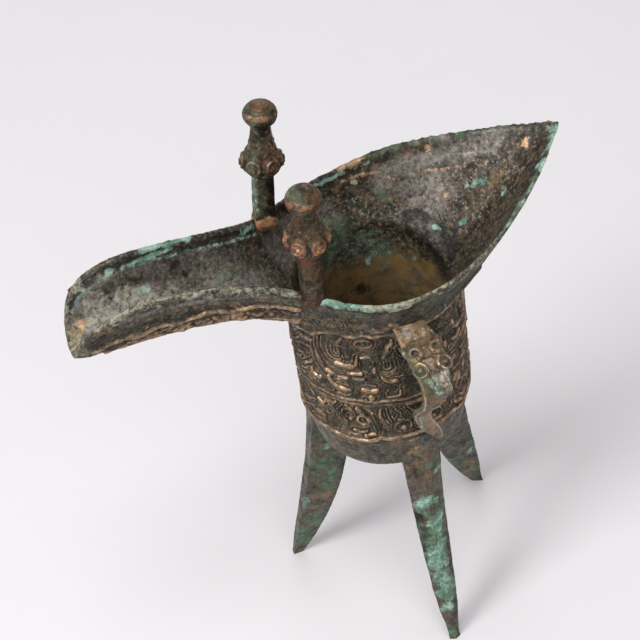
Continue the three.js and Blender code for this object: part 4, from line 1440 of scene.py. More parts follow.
class Wall:
    """One piece of the vessel's wall: where each vertex lies, and the ornament there."""

    def __init__(self, vessel: "Vessel", mesh: Mesh) -> None:
        """Finds where each vertex lies.

        Args:
            vessel: The vessel, for its sizes.
            mesh: The piece's mesh in millimetres.
        """
        self.vessel = vessel
        self.mesh = mesh
        self.places, normals = surface(mesh)
        self.x, self.y, self.z = self.places.T
        x, y, z = self.places.T
        radial = np.hypot(x, y)
        out, self.down = vessel.mouth.section_place(self.places)
        self.upper = z > vessel.join - 0.3
        outward = (normals[:, 0] * x + normals[:, 1] * y) / np.maximum(radial, TINY)
        wide = (radial > vessel.radius - 0.9) & (outward > 0.3)
        on_cup = wide & (z > vessel.band_foot) & (np.abs(x) < vessel.seam + 2)
        deep = (radial < vessel.radius - 2) & (z < vessel.join + 4)
        bore = ~on_cup & (z > vessel.taper_top) & deep
        straight = on_cup & (radial < vessel.radius + 0.35)
        level = np.stack([x, y, np.zeros(len(x))], axis=1) / np.maximum(radial, TINY)[:, None]
        self.normals = np.where(straight[:, None], level, np.where(bore[:, None], -level, normals))
        faces_out = (outward > 0.0) | (np.abs(x) > vessel.seam)
        on_mouth = self.upper & (out > 0.965) & (self.down > 2.4) & faces_out
        low_outside = (outward > 0.15) | (self.normals[:, 2] < -0.3)
        self.outside = np.where(self.upper, on_mouth | (on_cup & (z < 165)), low_outside)
        self.banded = (on_cup | (on_mouth & (np.abs(x) < vessel.seam))) & (z < vessel.band_top)
        self.on_spout = on_mouth & (x < -vessel.seam - 0.5)

        self.wander = fractal(self.places, 7.0, 2)
        self.warp = fractal(self.places, 4.0, 3, 5.0) * 0.34
        self.patchy = fractal(self.places, 5.0, 3, 9.0)
        self.angle = np.arctan2(y, x) + math.pi / 2
        self.along = vessel.bands.fold(self.angle) + self.warp
        self.border = vessel.bands.border(self.along)
        self.top = vessel.mouth.rim_side(x)
        self.height = np.zeros(len(x))
        self.past = np.full(len(x), NO_LINE)
        self.rub = np.zeros(len(x))
        self.depth = np.zeros(len(x))
        self.coil_ground = np.zeros(len(x))
        self.in_bands = np.zeros(len(x), bool)
        self.bladed = np.zeros(len(x), bool)

    def carve_bands(self, relief: Relief, grooves: Relief) -> None:
        """Raises the cup's two bands, with thin lines and coils between their main forms.

        Args:
            relief: The raised lines.
            grooves: The lines cut into them.
        """
        use = self.banded
        if use.any():
            up = self.z + self.warp
            self.height[use], self.past[use], self.rub[use] = relief.read(self.along[use], up[use])
            cut_in = grooves.read(self.along[use], self.z[use])[0]
            self.depth[use] = cut_in * smoothstep(0.7, 0.2, self.height[use])
        self.in_bands = use & (self.z > self.vessel.bands.low_line) & (self.z < self.border)
        coiled = smoothstep(-0.4, 0.6, np.cos(10 * math.pi * self.wander)) * smoothstep(0.7, 1.3, self.past)
        lines = np.sqrt(echoes(self.past, 1.15)) * smoothstep(2.6, 1.4, self.past)
        thin = 0.8 * np.maximum(lines, coiled)
        self.rub = np.where(self.in_bands & (thin > self.height), 0.62, self.rub)
        self.rub = self.rub * np.clip(0.9 + 0.8 * self.patchy, 0.3, 1.2)
        self.height = np.where(self.in_bands, np.maximum(self.height, thin), self.height)

    def carve_spout(self, relief: Relief) -> None:
        """Raises the scrolls under the spout.

        Args:
            relief: The scrolls, by place along the spout and distance below the rim.
        """
        use = self.on_spout
        if not use.any():
            return
        x, down, warp, patchy = self.x[use], self.down[use], self.warp[use], self.patchy[use]
        raised, past, rub = relief.read(x + 2 * warp, down + warp + 2.4)
        fade = smoothstep(2.9, 4.3, down) * smoothstep(-101.5, -97.5, x)
        coiled = smoothstep(0, 0.8, np.cos(11 * math.pi * self.wander[use]))
        fine = 0.5 * np.maximum(echoes(past, 1.4), coiled)
        self.height[use] = np.maximum(1.3 * raised + 0.5 * patchy, fine) * fade
        self.rub[use] = np.where(raised > fine, 0.55 * rub, 0.3) + 0.6 * patchy
        self.past[use] = np.where(fade > 0.5, past, NO_LINE)

    def blade_height(self, angle: Array, rise: Array) -> Array:
        """Rising pointed blades with a spine and veins.

        Args:
            angle: Angle round the cup from the handle in radians.
            rise: Share of the way up from the border to the rim band.

        Returns:
            Height from 0 to 1.
        """
        across = np.abs(((angle / (2 * math.pi) * self.vessel.blades) % 1) - 0.5) * 2
        share = across / np.clip(1.02 - rise * 0.92, 0.02, 1)
        edge = smoothstep(0.16, 0.05, np.abs(share - 0.9))
        vein = smoothstep(0.12, 0.03, np.abs(share - 0.5)) * 0.8
        spine = smoothstep(0.14, 0.04, share)
        inside = np.where(share < 1.05, 1.0, 0.0)
        return np.maximum.reduce([edge, vein, spine]) * inside * smoothstep(1.05, 0.9, rise)

    def carve_flare(self) -> None:
        """Raises the blades on the flare, and the field of coils towards the spout."""
        rise = (self.z - self.border - 1.2) / np.maximum(self.top - 5.0 - self.border, 1.0)
        flare = self.outside & self.upper & ~self.on_spout & (rise > 0) & (self.down > 4.2)
        self.bladed = flare & ((self.y > 0) | (self.x > 4))
        use = self.bladed
        if use.any():
            share = np.where(self.y[use] > 0, 0.6, smoothstep(4, 14, self.x[use]))
            share = share * smoothstep(0.98, 0.75, rise[use])
            blades = self.blade_height(self.angle[use], rise[use]) * share * 0.8
            self.height[use] = np.maximum(self.height[use] * 0.4, blades)
            self.rub[use] = 0.55
            self.past[use] = np.where(blades > 0.35, 0.0, 1.0)
        share = smoothstep(13, 19, self.along) * smoothstep(168, 164, self.z) * flare * (self.x < 0)
        coils = combed(self.along, self.z, 4.0) * share * 0.7
        self.rub = np.where(coils > self.height, 0.7, self.rub)
        self.height = np.maximum(self.height, coils)
        self.coil_ground = 0.6 * (share > 0.5) * smoothstep(0.2, 0.05, coils)

    def lift(self) -> None:
        """Moves the vertices out to the ornament's height, worn and pitted."""
        worn = 0.88 + 0.3 * fractal(self.places, 9.0, 2, 7.0)
        self.height = self.height * np.clip(worn, 0.5, 1.2)
        pitted = 0.05 * fractal(self.places, 1.6, 3, 3.0) + 0.09 * fractal(self.places, 8.0, 2, 11.0)
        lift = np.where(self.outside, self.height * self.vessel.relief, 0.0)
        lift = lift - np.where(self.on_spout & (self.down > 5), 0.3, 0.0)
        ground = 0.22 * smoothstep(0.0, 0.5, self.past) + self.depth * 0.75
        lift -= np.where(self.in_bands, ground, 0.0)
        move_to(self.mesh, self.places + self.normals * (lift + pitted)[:, None])

    def mark(self) -> None:
        """Marks the piece for its finish."""
        outside, upper, x, z = self.outside, self.upper, self.x, self.z
        mouth = self.vessel.mouth
        inside = ~outside
        marks = Marks.clear(len(x))
        marks.raised = np.where(outside, self.height * (0.35 + 0.75 * self.rub), 0)
        carved = self.in_bands | (self.on_spout & (self.down > 4.0)) | self.bladed
        plain = outside & ~carved
        low = smoothstep(0.42, 0.05, self.height)
        marks.hollow = np.where(carved, np.maximum(low * 0.75, self.depth * 1.2), 0)
        marks.hollow = np.maximum(marks.hollow, self.coil_ground)
        below = np.clip(self.top - z, 0, 60)
        rim = smoothstep(2.2, 0.4, below) * upper
        inner = upper & inside & (below > 1.0)
        near_spout = (self.y < 0) & (x < mouth.rebate_start)
        far_spout = (x < -22) & (self.y > 0)
        # Painted shade: the inside face of the step down to the rebate is darkened, a little less on the
        # tail side
        step_shade = inner & (below < mouth.rebate_depth + 0.4) & ~near_spout
        ledge_highlight = smoothstep(1.0, 0.3, np.abs(below - mouth.rebate_depth)) * inner
        marks.dark = np.where(step_shade, 0.75 - 0.2 * (x > 5), 0)
        # Painted shade: a dark band just under the rim inside the near side of the spout, which has no
        # rebate
        marks.dark += np.where(inner & near_spout, 0.8 * smoothstep(4.5, 1.5, below), 0)
        marks.dark += np.where(plain, 0.32 + 0.5 * self.patchy, 0)
        # The first term is a painted highlight in pale turquoise along the ledge on the far side of the
        # spout; the second is turquoise on the rim
        marks.turquoise = 0.6 * ledge_highlight * far_spout + 0.2 * rim * far_spout
        marks.pale = 0.25 * rim + 0.16 * inner * smoothstep(-30, -50, x)
        marks.pale = np.maximum(marks.pale, 0.5 * (upper & (x < mouth.lip_x + 4.5)))
        marks.green = 0.3 * rim * (x > -20) + np.where(carved, 0.18, 0.34 * outside) + 0.16 * inner
        marks.green = marks.green + 0.12 * self.bladed
        marks.warm = 0.3 * inner * smoothstep(-45, -15, x) + np.where(plain, 0.3 - 0.6 * self.patchy, 0)
        marks.warm += 0.9 * inside * smoothstep(146, 128, z)
        marks.copper = np.where(plain, 0.12, 0) + 0.05 * inner
        marks.ash = np.where(plain, 0.08, 0) + 0.3 * inside * smoothstep(146, 130, z)
        marks.speckle = 0.3 * inner + 0.2 * inside + 0.12 * plain
        marks.stain(self.places, BORE_STAINS, inside)
        marks.stain(self.places, SPOUT_STAINS, inside & (below > 1.0))
        marks.stain(self.places, RIM_STAINS, upper & (below < 2.6))
        marks.stain(self.places, OUTSIDE_STAINS, outside)
        marks.write(self.mesh)


@dataclass
class Vessel:
    """The cup with its mouth, spout and tail, and all their cast ornament."""

    radius: float = 29.4
    wall: float = 3.0
    bottom: float = 78.7
    bottom_height: float = 11.3
    bottom_radius: float = 27.4
    bottom_power: float = 2.7
    taper_top: float = 101.0
    band_foot: float = 99.5
    band_top: float = 162.5
    split: float = 121.3
    join: float = 144.6
    seam: float = 30.8
    columns: int = 680
    row: float = 0.28
    front: float = -107.0
    relief: float = 0.95
    blades: int = 14
    mouth: Mouth = field(default_factory=Mouth)
    bands: CupBands = field(default_factory=CupBands)

    def round_bottom(self, radius: float, low: float, height: float, steps: int) -> list[Point2]:
        """Half section of a round bottom.

        Args:
            radius: Its radius.
            low: Height of its lowest point.
            height: How far it rises.
            steps: How finely it is divided.

        Returns:
            Radius and height of its points, from the axis outwards.
        """
        out = []
        for i in range(steps + 1):
            a = math.pi / 2 * i / steps
            out.append((
                radius * math.sin(a) ** (2 / self.bottom_power),
                low + height * (1 - math.cos(a) ** (2 / self.bottom_power)),
            ))
        return out

    def gather(self, bm: BMesh) -> BMesh:
        """Draws a turned wall's columns closer together where the ornament shows most.

        Args:
            bm: The wall, which changes.

        Returns:
            The wall.
        """
        middle = math.radians(self.front)
        for v in bm.verts:
            r = math.hypot(v.co.x, v.co.y)
            a = math.atan2(v.co.y, v.co.x)
            a -= 0.25 * math.sin(a - middle)
            v.co.x, v.co.y = r * math.cos(a), r * math.sin(a)
        return bm

    def low_cup(self) -> BMesh:
        """The round bottom and the wall of the lower band, as one turned wall.

        Returns:
            The shape in millimetres.
        """
        outside = self.round_bottom(self.bottom_radius, self.bottom, self.bottom_height, 20)
        outside += [(self.bottom_radius + 1.6, 96.0), (self.radius - 0.25, 99.0)]
        outside += [(self.radius, float(z)) for z in np.arange(self.band_foot, self.split - 0.1, self.row)]
        outside += [(self.radius, self.split)]
        bore = self.radius - self.wall
        inside = self.round_bottom(
            self.bottom_radius - self.wall, self.bottom + self.wall, self.bottom_height, 14
        )
        inside += [(bore - 1.3, 98.0), (bore - 0.5, self.taper_top + 1)]
        inside += [(bore, z) for z in (self.taper_top + 5, 110.0, 116.0, self.split)]
        return self.gather(turned(outside + inside[::-1], self.columns))

    def high_cup(self) -> BMesh:
        """The wall of the upper band, up to the flare.

        Returns:
            The shape in millimetres.
        """
        bore = self.radius - self.wall
        profile = [(self.radius, float(z)) for z in np.arange(self.split, self.join - 0.1, self.row)]
        profile += [(self.radius, self.join)]
        profile += [(bore, float(z)) for z in np.linspace(self.join, self.split, 7)]
        return self.gather(turned(profile, self.columns, ring=True))

    def mouth_body(self) -> Object:
        """The flared mouth, spout and tail as one hollow body with softened edges.

        Returns:
            The body.
        """
        m = self.mouth
        body = as_object(m.solid(0.0, m.lip_x - 1, m.tail_x), "mouth")
        room = as_object(m.solid(-m.wall, m.lip_x - m.past, m.tail_end(m.wall)), "room")
        low = self.join - 12
        bore = self.radius - self.wall
        for obj, radius, foot, top in ((body, self.radius, low, 160), (room, bore, low - 5, 166)):
            barrel = turned([(0, foot), (radius, foot), (radius, top), (0, top)], 200)
            cut(obj, as_object(barrel, "barrel"), Join.ADD)
        cut(body, room, Join.TAKE)
        thin = m.wall - m.rebate
        rebate = as_object(m.solid(-thin, m.lip_x - m.past, m.tail_end(thin)), "rebate")
        cut(rebate, as_object(m.above(m.rebate_depth), "band"), Join.SHARE)
        size, middle = (120, 60, 60), (m.rebate_start - 60, -30, 180)
        plain = bmesh.new()
        bmesh.ops.create_cube(plain, size=1.0)
        bmesh.ops.scale(plain, vec=size, verts=plain.verts)
        bmesh.ops.translate(plain, vec=middle, verts=plain.verts)
        cut(rebate, as_object(plain, "plain"), Join.TAKE)
        cut(body, rebate, Join.TAKE)
        cut(body, as_object(m.above(0.0), "sky"), Join.TAKE)
        remesh(body, 0.68, 6)
        return body

    def refine(self, obj: Object) -> None:
        """Divides the outside of a mouth piece, where ornament goes.

        Args:
            obj: The piece.
        """
        bm = bmesh.new()
        bm.from_mesh(obj.data)
        centres = np.array([f.calc_center_median()[:] for f in bm.faces])
        out, down = self.mouth.section_place(centres)
        radial = np.hypot(centres[:, 0], centres[:, 1])
        on_cup = (radial > self.radius - 0.8) & (centres[:, 2] < 162)
        plain_rim = np.where(np.abs(centres[:, 0]) < self.seam, 5.5, 3.0)
        keep = ((out > 0.955) | on_cup) & (down > plain_rim)
        chosen = {e for f, k in zip(bm.faces, keep.tolist()) if k for e in f.edges}
        bmesh.ops.subdivide_edges(bm, edges=list(chosen), cuts=1, use_grid_fill=True)
        bm.to_mesh(obj.data)
        bm.free()

    def spout_strokes(self) -> list[Stroke]:
        """The dragon scrolls under the spout, by place along it and distance below the rim.

        Returns:
            The strokes.
        """
        upper = (
            (-96, 14), (-90, 11.6), (-82, 12.8), (-75, 10.4), (-68, 11.8), (-60, 8.8), (-52, 10), (-44, 7.8),
            (-36, 8.6), (-32, 8),
        )
        lower = (
            (-93, 22), (-86, 20), (-78, 22.2), (-70, 19.4), (-61, 21), (-52, 17.8), (-43, 19), (-32, 16.6),
        )
        out = [
            Stroke(upper, 0.85, 1.25, 0.9),
            Stroke(lower, 0.9, 1.3, 0.9),
            Stroke(tuple((x, d + 4.4) for x, d in lower), 0.7, 1.1, 0.6),
            Stroke(tuple((x + 2, d + 8.6) for x, d in lower), 0.7, 1.0, 0.5),
        ]
        for x, d in ((-84.0, 16.6), (-72.5, 15.4), (-61.0, 14.8), (-50.0, 14.0), (-40.0, 13.0)):
            out.append(boss((x, d), 1.2, 1.5, 0.9))
            out.append(arc((x, d), (2.6, 2.2), 20, 300, 0.55, 1.1, 0.7))
            out.append(ridge(0.65, 1.3, 0.9, (x + 3.4, d - 1.8), (x + 5.6, d - 0.6), (x + 7.4, d - 1.8)))
            out.append(ridge(0.6, 1.2, 0.8, (x + 4.0, d + 2.2), (x + 6.2, d + 1.4), (x + 8.0, d + 2.4)))
            out.append(ridge(0.5, 1.1, 0.8, (x - 1.8, d - 3.8), (x + 0.4, d - 4.6), (x + 2.6, d - 3.9)))
            out.append(spiral((x + 3.2, d + 6.6), 2.0, 1.3, 60 * x, 0.5, 1.1, 0.7))
            out.append(spiral((x - 2.4, d + 10.6), 1.8, -1.3, 40 * x, 0.5, 1.0, 0.6))
        return out

    def build(self, patina: Material) -> None:
        """Builds and dresses the wall's pieces.

        Args:
            patina: Their finish.
        """
        relief = Relief(self.bands.strokes())
        grooves = Relief(GROOVES)
        spout_relief = Relief(self.spout_strokes())
        low = as_object(self.low_cup(), "cup_bottom")
        high = as_object(self.high_cup(), "cup_wall")
        body = self.mouth_body()
        base = ((0, 0, self.join), (0, 0, -1))
        left, right = (-self.seam, 0, 0), (self.seam, 0, 0)
        flare = split_off(body, "cup_mouth", [base, (left, (-1, 0, 0)), (right, (1, 0, 0))])
        spout = split_off(body, "spout_trough", [(left, (1, 0, 0))])
        tail = split_off(body, "tail_flare", [(right, (-1, 0, 0))])
        bpy.data.objects.remove(body)
        for obj in (flare, spout, tail):
            self.refine(obj)
        for obj, node in (
            (low, "cup_body"), (high, "cup_body"), (flare, "cup_body"), (spout, "spout"), (tail, "tail"),
        ):
            wall = Wall(self, obj.data)
            wall.carve_bands(relief, grooves)
            wall.carve_spout(spout_relief)
            wall.carve_flare()
            wall.lift()
            wall.mark()
            finish_piece(obj, patina, node)


# legs


LEG_STAINS = stains({
    Tint.DARK: (
        (3.5, 0.8, (-26.7, 6.8, 79.5)),
        (2.8, 1, (-5, -30.8, 58), (-4.6, -32.6, 50), (-4, -35, 38)),
        (2.2, 0.8, (-1.7, -34.9, 46.1)),
        (1.6, 0.9, (4.2, -34, 47), (3.4, -35.2, 40.8), (2.9, -37.4, 30)),
        (3, 0.7, (40.5, 15.9, 9.4)),
    ),
    Tint.TURQUOISE: (
        (3, 0.75, (-23.3, 7.4, 69.2)),
        (1.4, 0.8, (-33.9, 12.3, 39), (-34.6, 13, 33)),
        (1.7, 0.8, (5.3, -28.6, 78.5)),
        (2.6, 0.85, (-4.5, -30.2, 64.4), (-0.1, -31.7, 66), (3.6, -31.4, 64.6)),
        (4, 0.72, (1.6, -32.8, 56), (0.6, -35.2, 46), (-0.4, -37.6, 34), (-1.2, -42.4, 16)),
        (2.2, 0.85, (2.7, -32.3, 56.9), (1.3, -33.4, 53.3)),
        (3.4, 0.75, (-0.9, -37.1, 38.4)),
        (3.4, 0.75, (-1.6, -40, 25.1)),
        (2.2, 1, (-0.9, -42.4, 16.3)),
        (1.6, 0.8, (26.3, 11.8, 28.2)),
        (2.2, 0.85, (34.7, 10.9, 30.3)),
    ),
    Tint.GREEN: (
        (5.5, 0.9, (-26.8, 8.7, 59.4), (-23.5, 8.9, 52.6)),
        (7, 0.8, (-32.7, 14.4, 20.3), (-36, 16.5, 10)),
        (5, 0.8, (0.7, -32.3, 60), (1.3, -33.4, 52.3), (0, -37, 40), (-1, -41, 22)),
        (4.5, 0.85, (-2.2, -45, 3.5)),
        (5, 0.7, (29, 12.6, 23.3)),
    ),
    Tint.WARM: (
        (4.5, 0.8, (-27.5, 11, 39.6)),
        (3, 0.6, (-31.2, 12.5, 31.4)),
        (5, 0.6, (-1.1, -29.4, 90.6), (-1.8, -29.4, 80.3)),
        (3.6, 0.9, (36.3, 13.6, 19.3), (34.2, 15.6, 12)),
    ),
    Tint.COPPER: (
        (2.2, 0.6, (-2.1, -28.8, 93.8)),
        (1.6, 0.7, (36.3, 13.6, 19.3)),
    ),
    Tint.PALE: ((1.4, 0.7, (-0.6, -42.8, 15)),),
})


@dataclass(frozen=True)
class Leg:
    """One dagger leg: a broad ridged outer face that tapers and curves out to its foot."""

    node: str
    angle: float
    root: float
    foot: float
    broad: float
    foot_width: float
    splay: float = 0.0
    bow: float = 0.0
    top: float = 100.0
    outer: Curve = Curve(((0, 46.2), (12.5, 43.5), (35, 38), (61, 32.7), (82, 30.3), (100, 29.9)))
    depth: Curve = Curve(((0, 4.6), (11, 8.4), (28, 12), (44, 14), (60, 15), (100, 17)))
    width: Curve = Curve(((0, 4.4), (12, 7.4), (25, 9.4), (50, 11.7), (75, 13.6), (88, 15), (100, 13)))
    ridge: float = 0.22
    inner_share: float = 0.22
    rounding: float = 0.055

    def section(self, s: Array, t: Array) -> Array:
        """Points of the leg's skin, whose five corners are a little rounded.

        Args:
            s: Share of the way up.
            t: Share of the way round.

        Returns:
            The points, one row each.
        """
        z = self.top * s
        fuller = self.bow * np.sin(math.pi * s)
        out = self.outer(z) + self.splay * (1 - s) + fuller
        half = self.width(z) * self.broad / 2
        half = half + (self.foot_width / 2 - half) * smoothstep(14, 0, z)
        edge = out - self.ridge * 2 * half
        back = out - self.depth(z) - fuller
        side = self.foot + (self.root - self.foot) * s
        narrow = half * self.inner_share
        outline = (
            (out, side),
            (edge, side + half),
            (back, side + narrow),
            (back, side - narrow),
            (edge, side - half),
        )
        corners = np.stack([np.stack(pair, 1) for pair in outline], 1)
        count = len(outline)
        turn = (t % 1.0) * count
        i = np.floor(turn).astype(int) % count
        f = turn - np.floor(turn)
        rows = np.arange(len(s))
        p = corners[rows, i] * (1 - f)[:, None] + corners[rows, (i + 1) % count] * f[:, None]
        nearest = corners[rows, np.where(f < 0.5, i, (i + 1) % count)]
        pull = self.rounding * smoothstep(0.09, 0.0, np.minimum(f, 1 - f))
        p = p + (corners.mean(axis=1) - nearest) * pull[:, None]
        cos, sin = math.cos(math.radians(self.angle)), math.sin(math.radians(self.angle))
        return np.stack([p[:, 0] * cos - p[:, 1] * sin, p[:, 0] * sin + p[:, 1] * cos, z], 1)

    def build(self, patina: Material) -> None:
        """Builds the leg.

        Args:
            patina: Its finish.
        """
        obj = as_object(skin(240, 120, self.section), self.node + "_blade")
        mesh = obj.data
        p, n = surface(mesh)
        worn = 0.18 * fractal(p, 7.0, 3, 5.0) + 0.09 * fractal(p, 1.8, 3, 9.0) - 0.12
        worn *= smoothstep(0.0, 1.2, p[:, 2])
        moved = p + n * worn[:, None]
        moved[:, 2] = np.maximum(moved[:, 2], 0.0)
        moved[p[:, 2] < 1e-3, 2] = 0.0
        move_to(mesh, moved)
        marks = Marks.clear(len(p))
        low = smoothstep(78, 62, p[:, 2])
        marks.green = 0.24 + 0.2 * low + 0.6 * fractal(p, 10.0, 3, 4.0)
        marks.turquoise = 0.05 + 0.08 * low
        marks.warm = 0.2 + 0.1 * (1 - low)
        marks.copper = 0.05 + 0.08 * (1 - low)
        marks.ash = np.full(len(p), 0.25)
        # Painted shade: faces turned towards +X, away from the key lamp, are darker; the noise term is
        # random tone
        marks.dark = 0.22 + 0.3 * smoothstep(0.1, 0.7, n[:, 0]) + 0.8 * fractal(p, 7.0, 3, 9.0)
        marks.stain(p, LEG_STAINS)
        marks.write(mesh)
        finish_piece(obj, patina, self.node)


# posts


@dataclass(frozen=True)
class Post:
    """A post on the rim: squared shaft, bell with ring eyes, neck and knob."""

    side: Side
    lean: Point2
    eye_height: float
    bell_foot: float
    x: float = -27.4
    inset: float = 2.6
    lean_height: float = 41.0
    width: float = 7.2
    depth: float = 6.4
    straddle: float = 3.6
    seat: float = 190.0
    eyes: int = 6
    first_eye: float = 13.7
    neck_radius: float = 3.6
    knob_radius: float = 5.85
    knob_height: float = 4.5
    knob_flat: float = 3.3
    knob_z: float = 24.5
    knob_foot: float = 19.4
    gap: float = 0.3

    @property
    def name(self) -> str:
        """near or far."""
        return self.side.name.lower()

    def place(self, mouth: Mouth) -> Matrix:
        """Where the post stands, with its lean.

        Args:
            mouth: The mouth whose rim carries it.

        Returns:
            Its place.
        """
        up = Vector((self.lean[0] / self.lean_height, self.lean[1] / self.lean_height, 1)).normalized()
        turn = Vector((0, 0, 1)).rotation_difference(up).to_matrix().to_4x4()
        out = float(mouth.rim_half(self.x)) - self.inset
        foot = Vector((self.x, self.side.value * out, float(mouth.wall_top(self.x))))
        return Matrix.Translation(foot) @ turn

    def bell(self) -> Curve:
        """The bell's outline, widest at the eyes.

        Returns:
            Its radius by height over its seat.
        """
        z = self.eye_height
        return Curve((
            (self.bell_foot, 4.1), (self.bell_foot + 0.9, 5.3), (z - 2.2, 6.1), (z - 0.4, 6.4),
            (z + 1.6, 5.9), (z + 3.8, 5.0), (z + 6.8, 4.3), (18.5, self.neck_radius),
            (21, self.neck_radius),
        ))

    def shaft(self, top: float) -> BMesh:
        """The shaft up to the cap's seat.

        Args:
            top: Height of the seat above the rim.

        Returns:
            The shape, with the rim at height 0.
        """
        swell = Curve((
            (-self.straddle, 0.9), (-self.straddle / 2, 1.12), (0, 1.1), (2.5, 1.0), (top, 0.96),
        ))

        def place(s: Array, t: Array) -> Array:
            """Points of a bar with a rounded square section."""
            z = -self.straddle + (top + self.straddle) * s
            u, v = squared(2 * math.pi * t, 2 / 3.8, 2 / 3.8)
            return np.stack([u * self.width / 2 * swell(z), v * self.depth / 2 * swell(z), z], 1)

        return skin(90, 110, place)

    def cap(self, seat: float) -> BMesh:
        """The cap's plain turned form.

        Args:
            seat: Height of its foot above the rim.

        Returns:
            The shape.
        """
        bell = self.bell()
        foot = self.bell_foot
        profile = [(0.0, seat + foot), (2.2, seat + foot)]
        profile += [(float(bell(z)), seat + z) for z in np.arange(foot, 20.1, 0.22)]
        start = math.asin(self.neck_radius / self.knob_radius)
        end = math.pi - math.asin(self.knob_flat / self.knob_radius)
        for a in np.linspace(start, end, 34):
            profile.append((
                self.knob_radius * math.sin(a), seat + self.knob_z - self.knob_height * math.cos(a)
            ))
        crown, dome = profile[-1][1], 0.25
        profile += [(r, crown + dome * (1 - (r / self.knob_flat) ** 2)) for r in (2.6, 1.9, 1.2, 0.6)]
        profile.append((0.0, crown + dome))
        return turned(profile, 210)

    def strokes(self) -> list[Stroke]:
        """One ring eye with its brow and the scales over it.

        Returns:
            The strokes, by distance from the eye's middle and height over the seat.
        """
        z = self.eye_height
        return [
            arc((0.0, z), (2.2, 2.2), -70, 240, 0.55, 0.85, 0.4),
            spiral((0.1, z - 0.1), 1.1, 1.1, 200, 0.42, 0.8, 0.35),
            arc((0.0, z - 0.3), (3.3, 3.1), 205, 335, 0.4, 0.5, 0.4),
            ridge(0.45, 0.35, 0.5, (-3.2, z + 3.2), (-1.5, z + 4.0), (0, z + 5.4), (1.5, z + 4.0),
                  (3.2, z + 3.2)),
            boss((0.1, z + 7.4), 0.6, 0.4, 0.6),
        ]

    def dress_shaft(self, mesh: Mesh) -> None:
        """Dents and marks the shaft, with a chevron on the far one's foot.

        Args:
            mesh: Its mesh, upright with the rim at height 0.
        """
        far = self.side is Side.FAR
        p, n = surface(mesh)
        dent = 0.12 * fractal(p, 4.0, 3, 2.0 + self.side.value) + 0.06 * fractal(p, 1.0, 2)
        along, up = p[:, 0], p[:, 2]
        front = n[:, 1] < 0.3
        chevron = smoothstep(3.4, 1.8, up + 0.5 * np.abs(along)) * front * far
        move_to(mesh, p + n * (dent + 0.12 * chevron - 0.1)[:, None])
        marks = Marks.clear(len(p))
        marks.copper = 0.95 * chevron + 0.1
        marks.green = np.where(along < 0.5, 0.5, 0.25) if far else np.full(len(p), 0.12)
        marks.turquoise = 0.6 * far * smoothstep(-2.2, -3.2, along) * smoothstep(2.5, 5.0, up)
        # Painted shade: the shaft's +X side, away from the key lamp, and its top just under the bell are
        # darker
        marks.dark = (0.85 if far else 0.5) * smoothstep(-0.8, 1.2, along) + 0.3 * smoothstep(13.0, 15.5, up)
        marks.warm = 0.25 + 0.1 * (not far) + 0.35 * smoothstep(11, 14, up)
        marks.write(mesh)

    def dress_cap(self, mesh: Mesh, seat: float) -> None:
        """Raises the ring eyes on the cap, and marks it.

        Args:
            mesh: Its mesh, upright with the rim at height 0.
            seat: Height of its seat.
        """
        p, n = surface(mesh)
        radial = np.hypot(p[:, 0], p[:, 1])
        turn = np.arctan2(p[:, 1], p[:, 0]) - math.radians(self.first_eye)
        share = (turn / (2 * math.pi) * self.eyes % 1) - 0.5
        along = share * 2 * math.pi / self.eyes * np.clip(radial, 3.9, 6.6)
        up = p[:, 2] - seat - self.gap
        raised, _, rub = Relief(self.strokes()).read(along, up)
        over = up - self.bell_foot
        zone = smoothstep(0.2, 1.0, over) * smoothstep(18.6, 17.2, up)
        lobe = smoothstep(4.1, 1.0, np.hypot(along, up - self.eye_height))
        valley = smoothstep(0.3, 0.5, np.abs(share)) * smoothstep(0.0, 0.8, over)
        valley = valley * smoothstep(self.eye_height + 5, self.eye_height + 1, up)
        knob = (up > self.knob_foot).astype(float)
        bell = 1 - knob
        ring = smoothstep(0.5, 0.15, np.abs(radial - self.knob_flat - 0.4))
        crease = ring * knob * (n[:, 2] > 0.3) * 0.22
        dent = 0.07 * fractal(p, 3.0, 3, 4.0 + self.side.value) + 0.12 * fractal(p, 6.0, 2, 8.0)
        lift = raised * zone * 0.62 + 0.8 * lobe * bell - 0.7 * valley - crease + dent - 0.2
        move_to(mesh, p + n * lift[:, None])
        marks = Marks.clear(len(p))
        ground = smoothstep(0.4, 0.1, raised) * zone
        marks.hollow = (0.35 + 0.6 * valley) * ground * (0.3 + 0.7 * (lobe > 0.1))
        # Painted highlight: the knob's shoulder where it faces the lamps is marked raised and copper
        facing_lamps = smoothstep(-0.2, 0.8, -(n[:, 1] * 0.7 + n[:, 0] * 0.5))
        painted_glint = knob * smoothstep(0.5, 0.1, np.abs(n[:, 2] - 0.35)) * facing_lamps
        if self.side is Side.FAR:
            marks.warm = 0.75 * knob * (n[:, 2] > 0.7) + 0.2
            marks.green = 0.5 * smoothstep(0.2, -0.6, n[:, 0])
            marks.turquoise = 0.5 * bell * smoothstep(1.8, 0.4, over) + 0.35 * valley
            marks.copper = 0.35 * bell * smoothstep(-0.2, 0.4, n[:, 0]) + 0.4 * painted_glint
        else:
            marks.warm = 0.8 * knob * smoothstep(-0.2, 0.5, n[:, 0]) + 0.42 * bell
            marks.green = 0.55 * knob * smoothstep(0.3, -0.4, n[:, 0]) * (n[:, 2] > 0.6) + 0.1
            marks.copper = 0.5 * lobe + 0.3 * painted_glint + 0.1
        marks.raised = raised * zone * (0.35 + 0.7 * rub) + 0.6 * painted_glint
        # Painted shade: the top of the bell, under the knob's overhang, is darker
        marks.dark = 0.3 * smoothstep(14, 17, up) * bell
        marks.write(mesh)

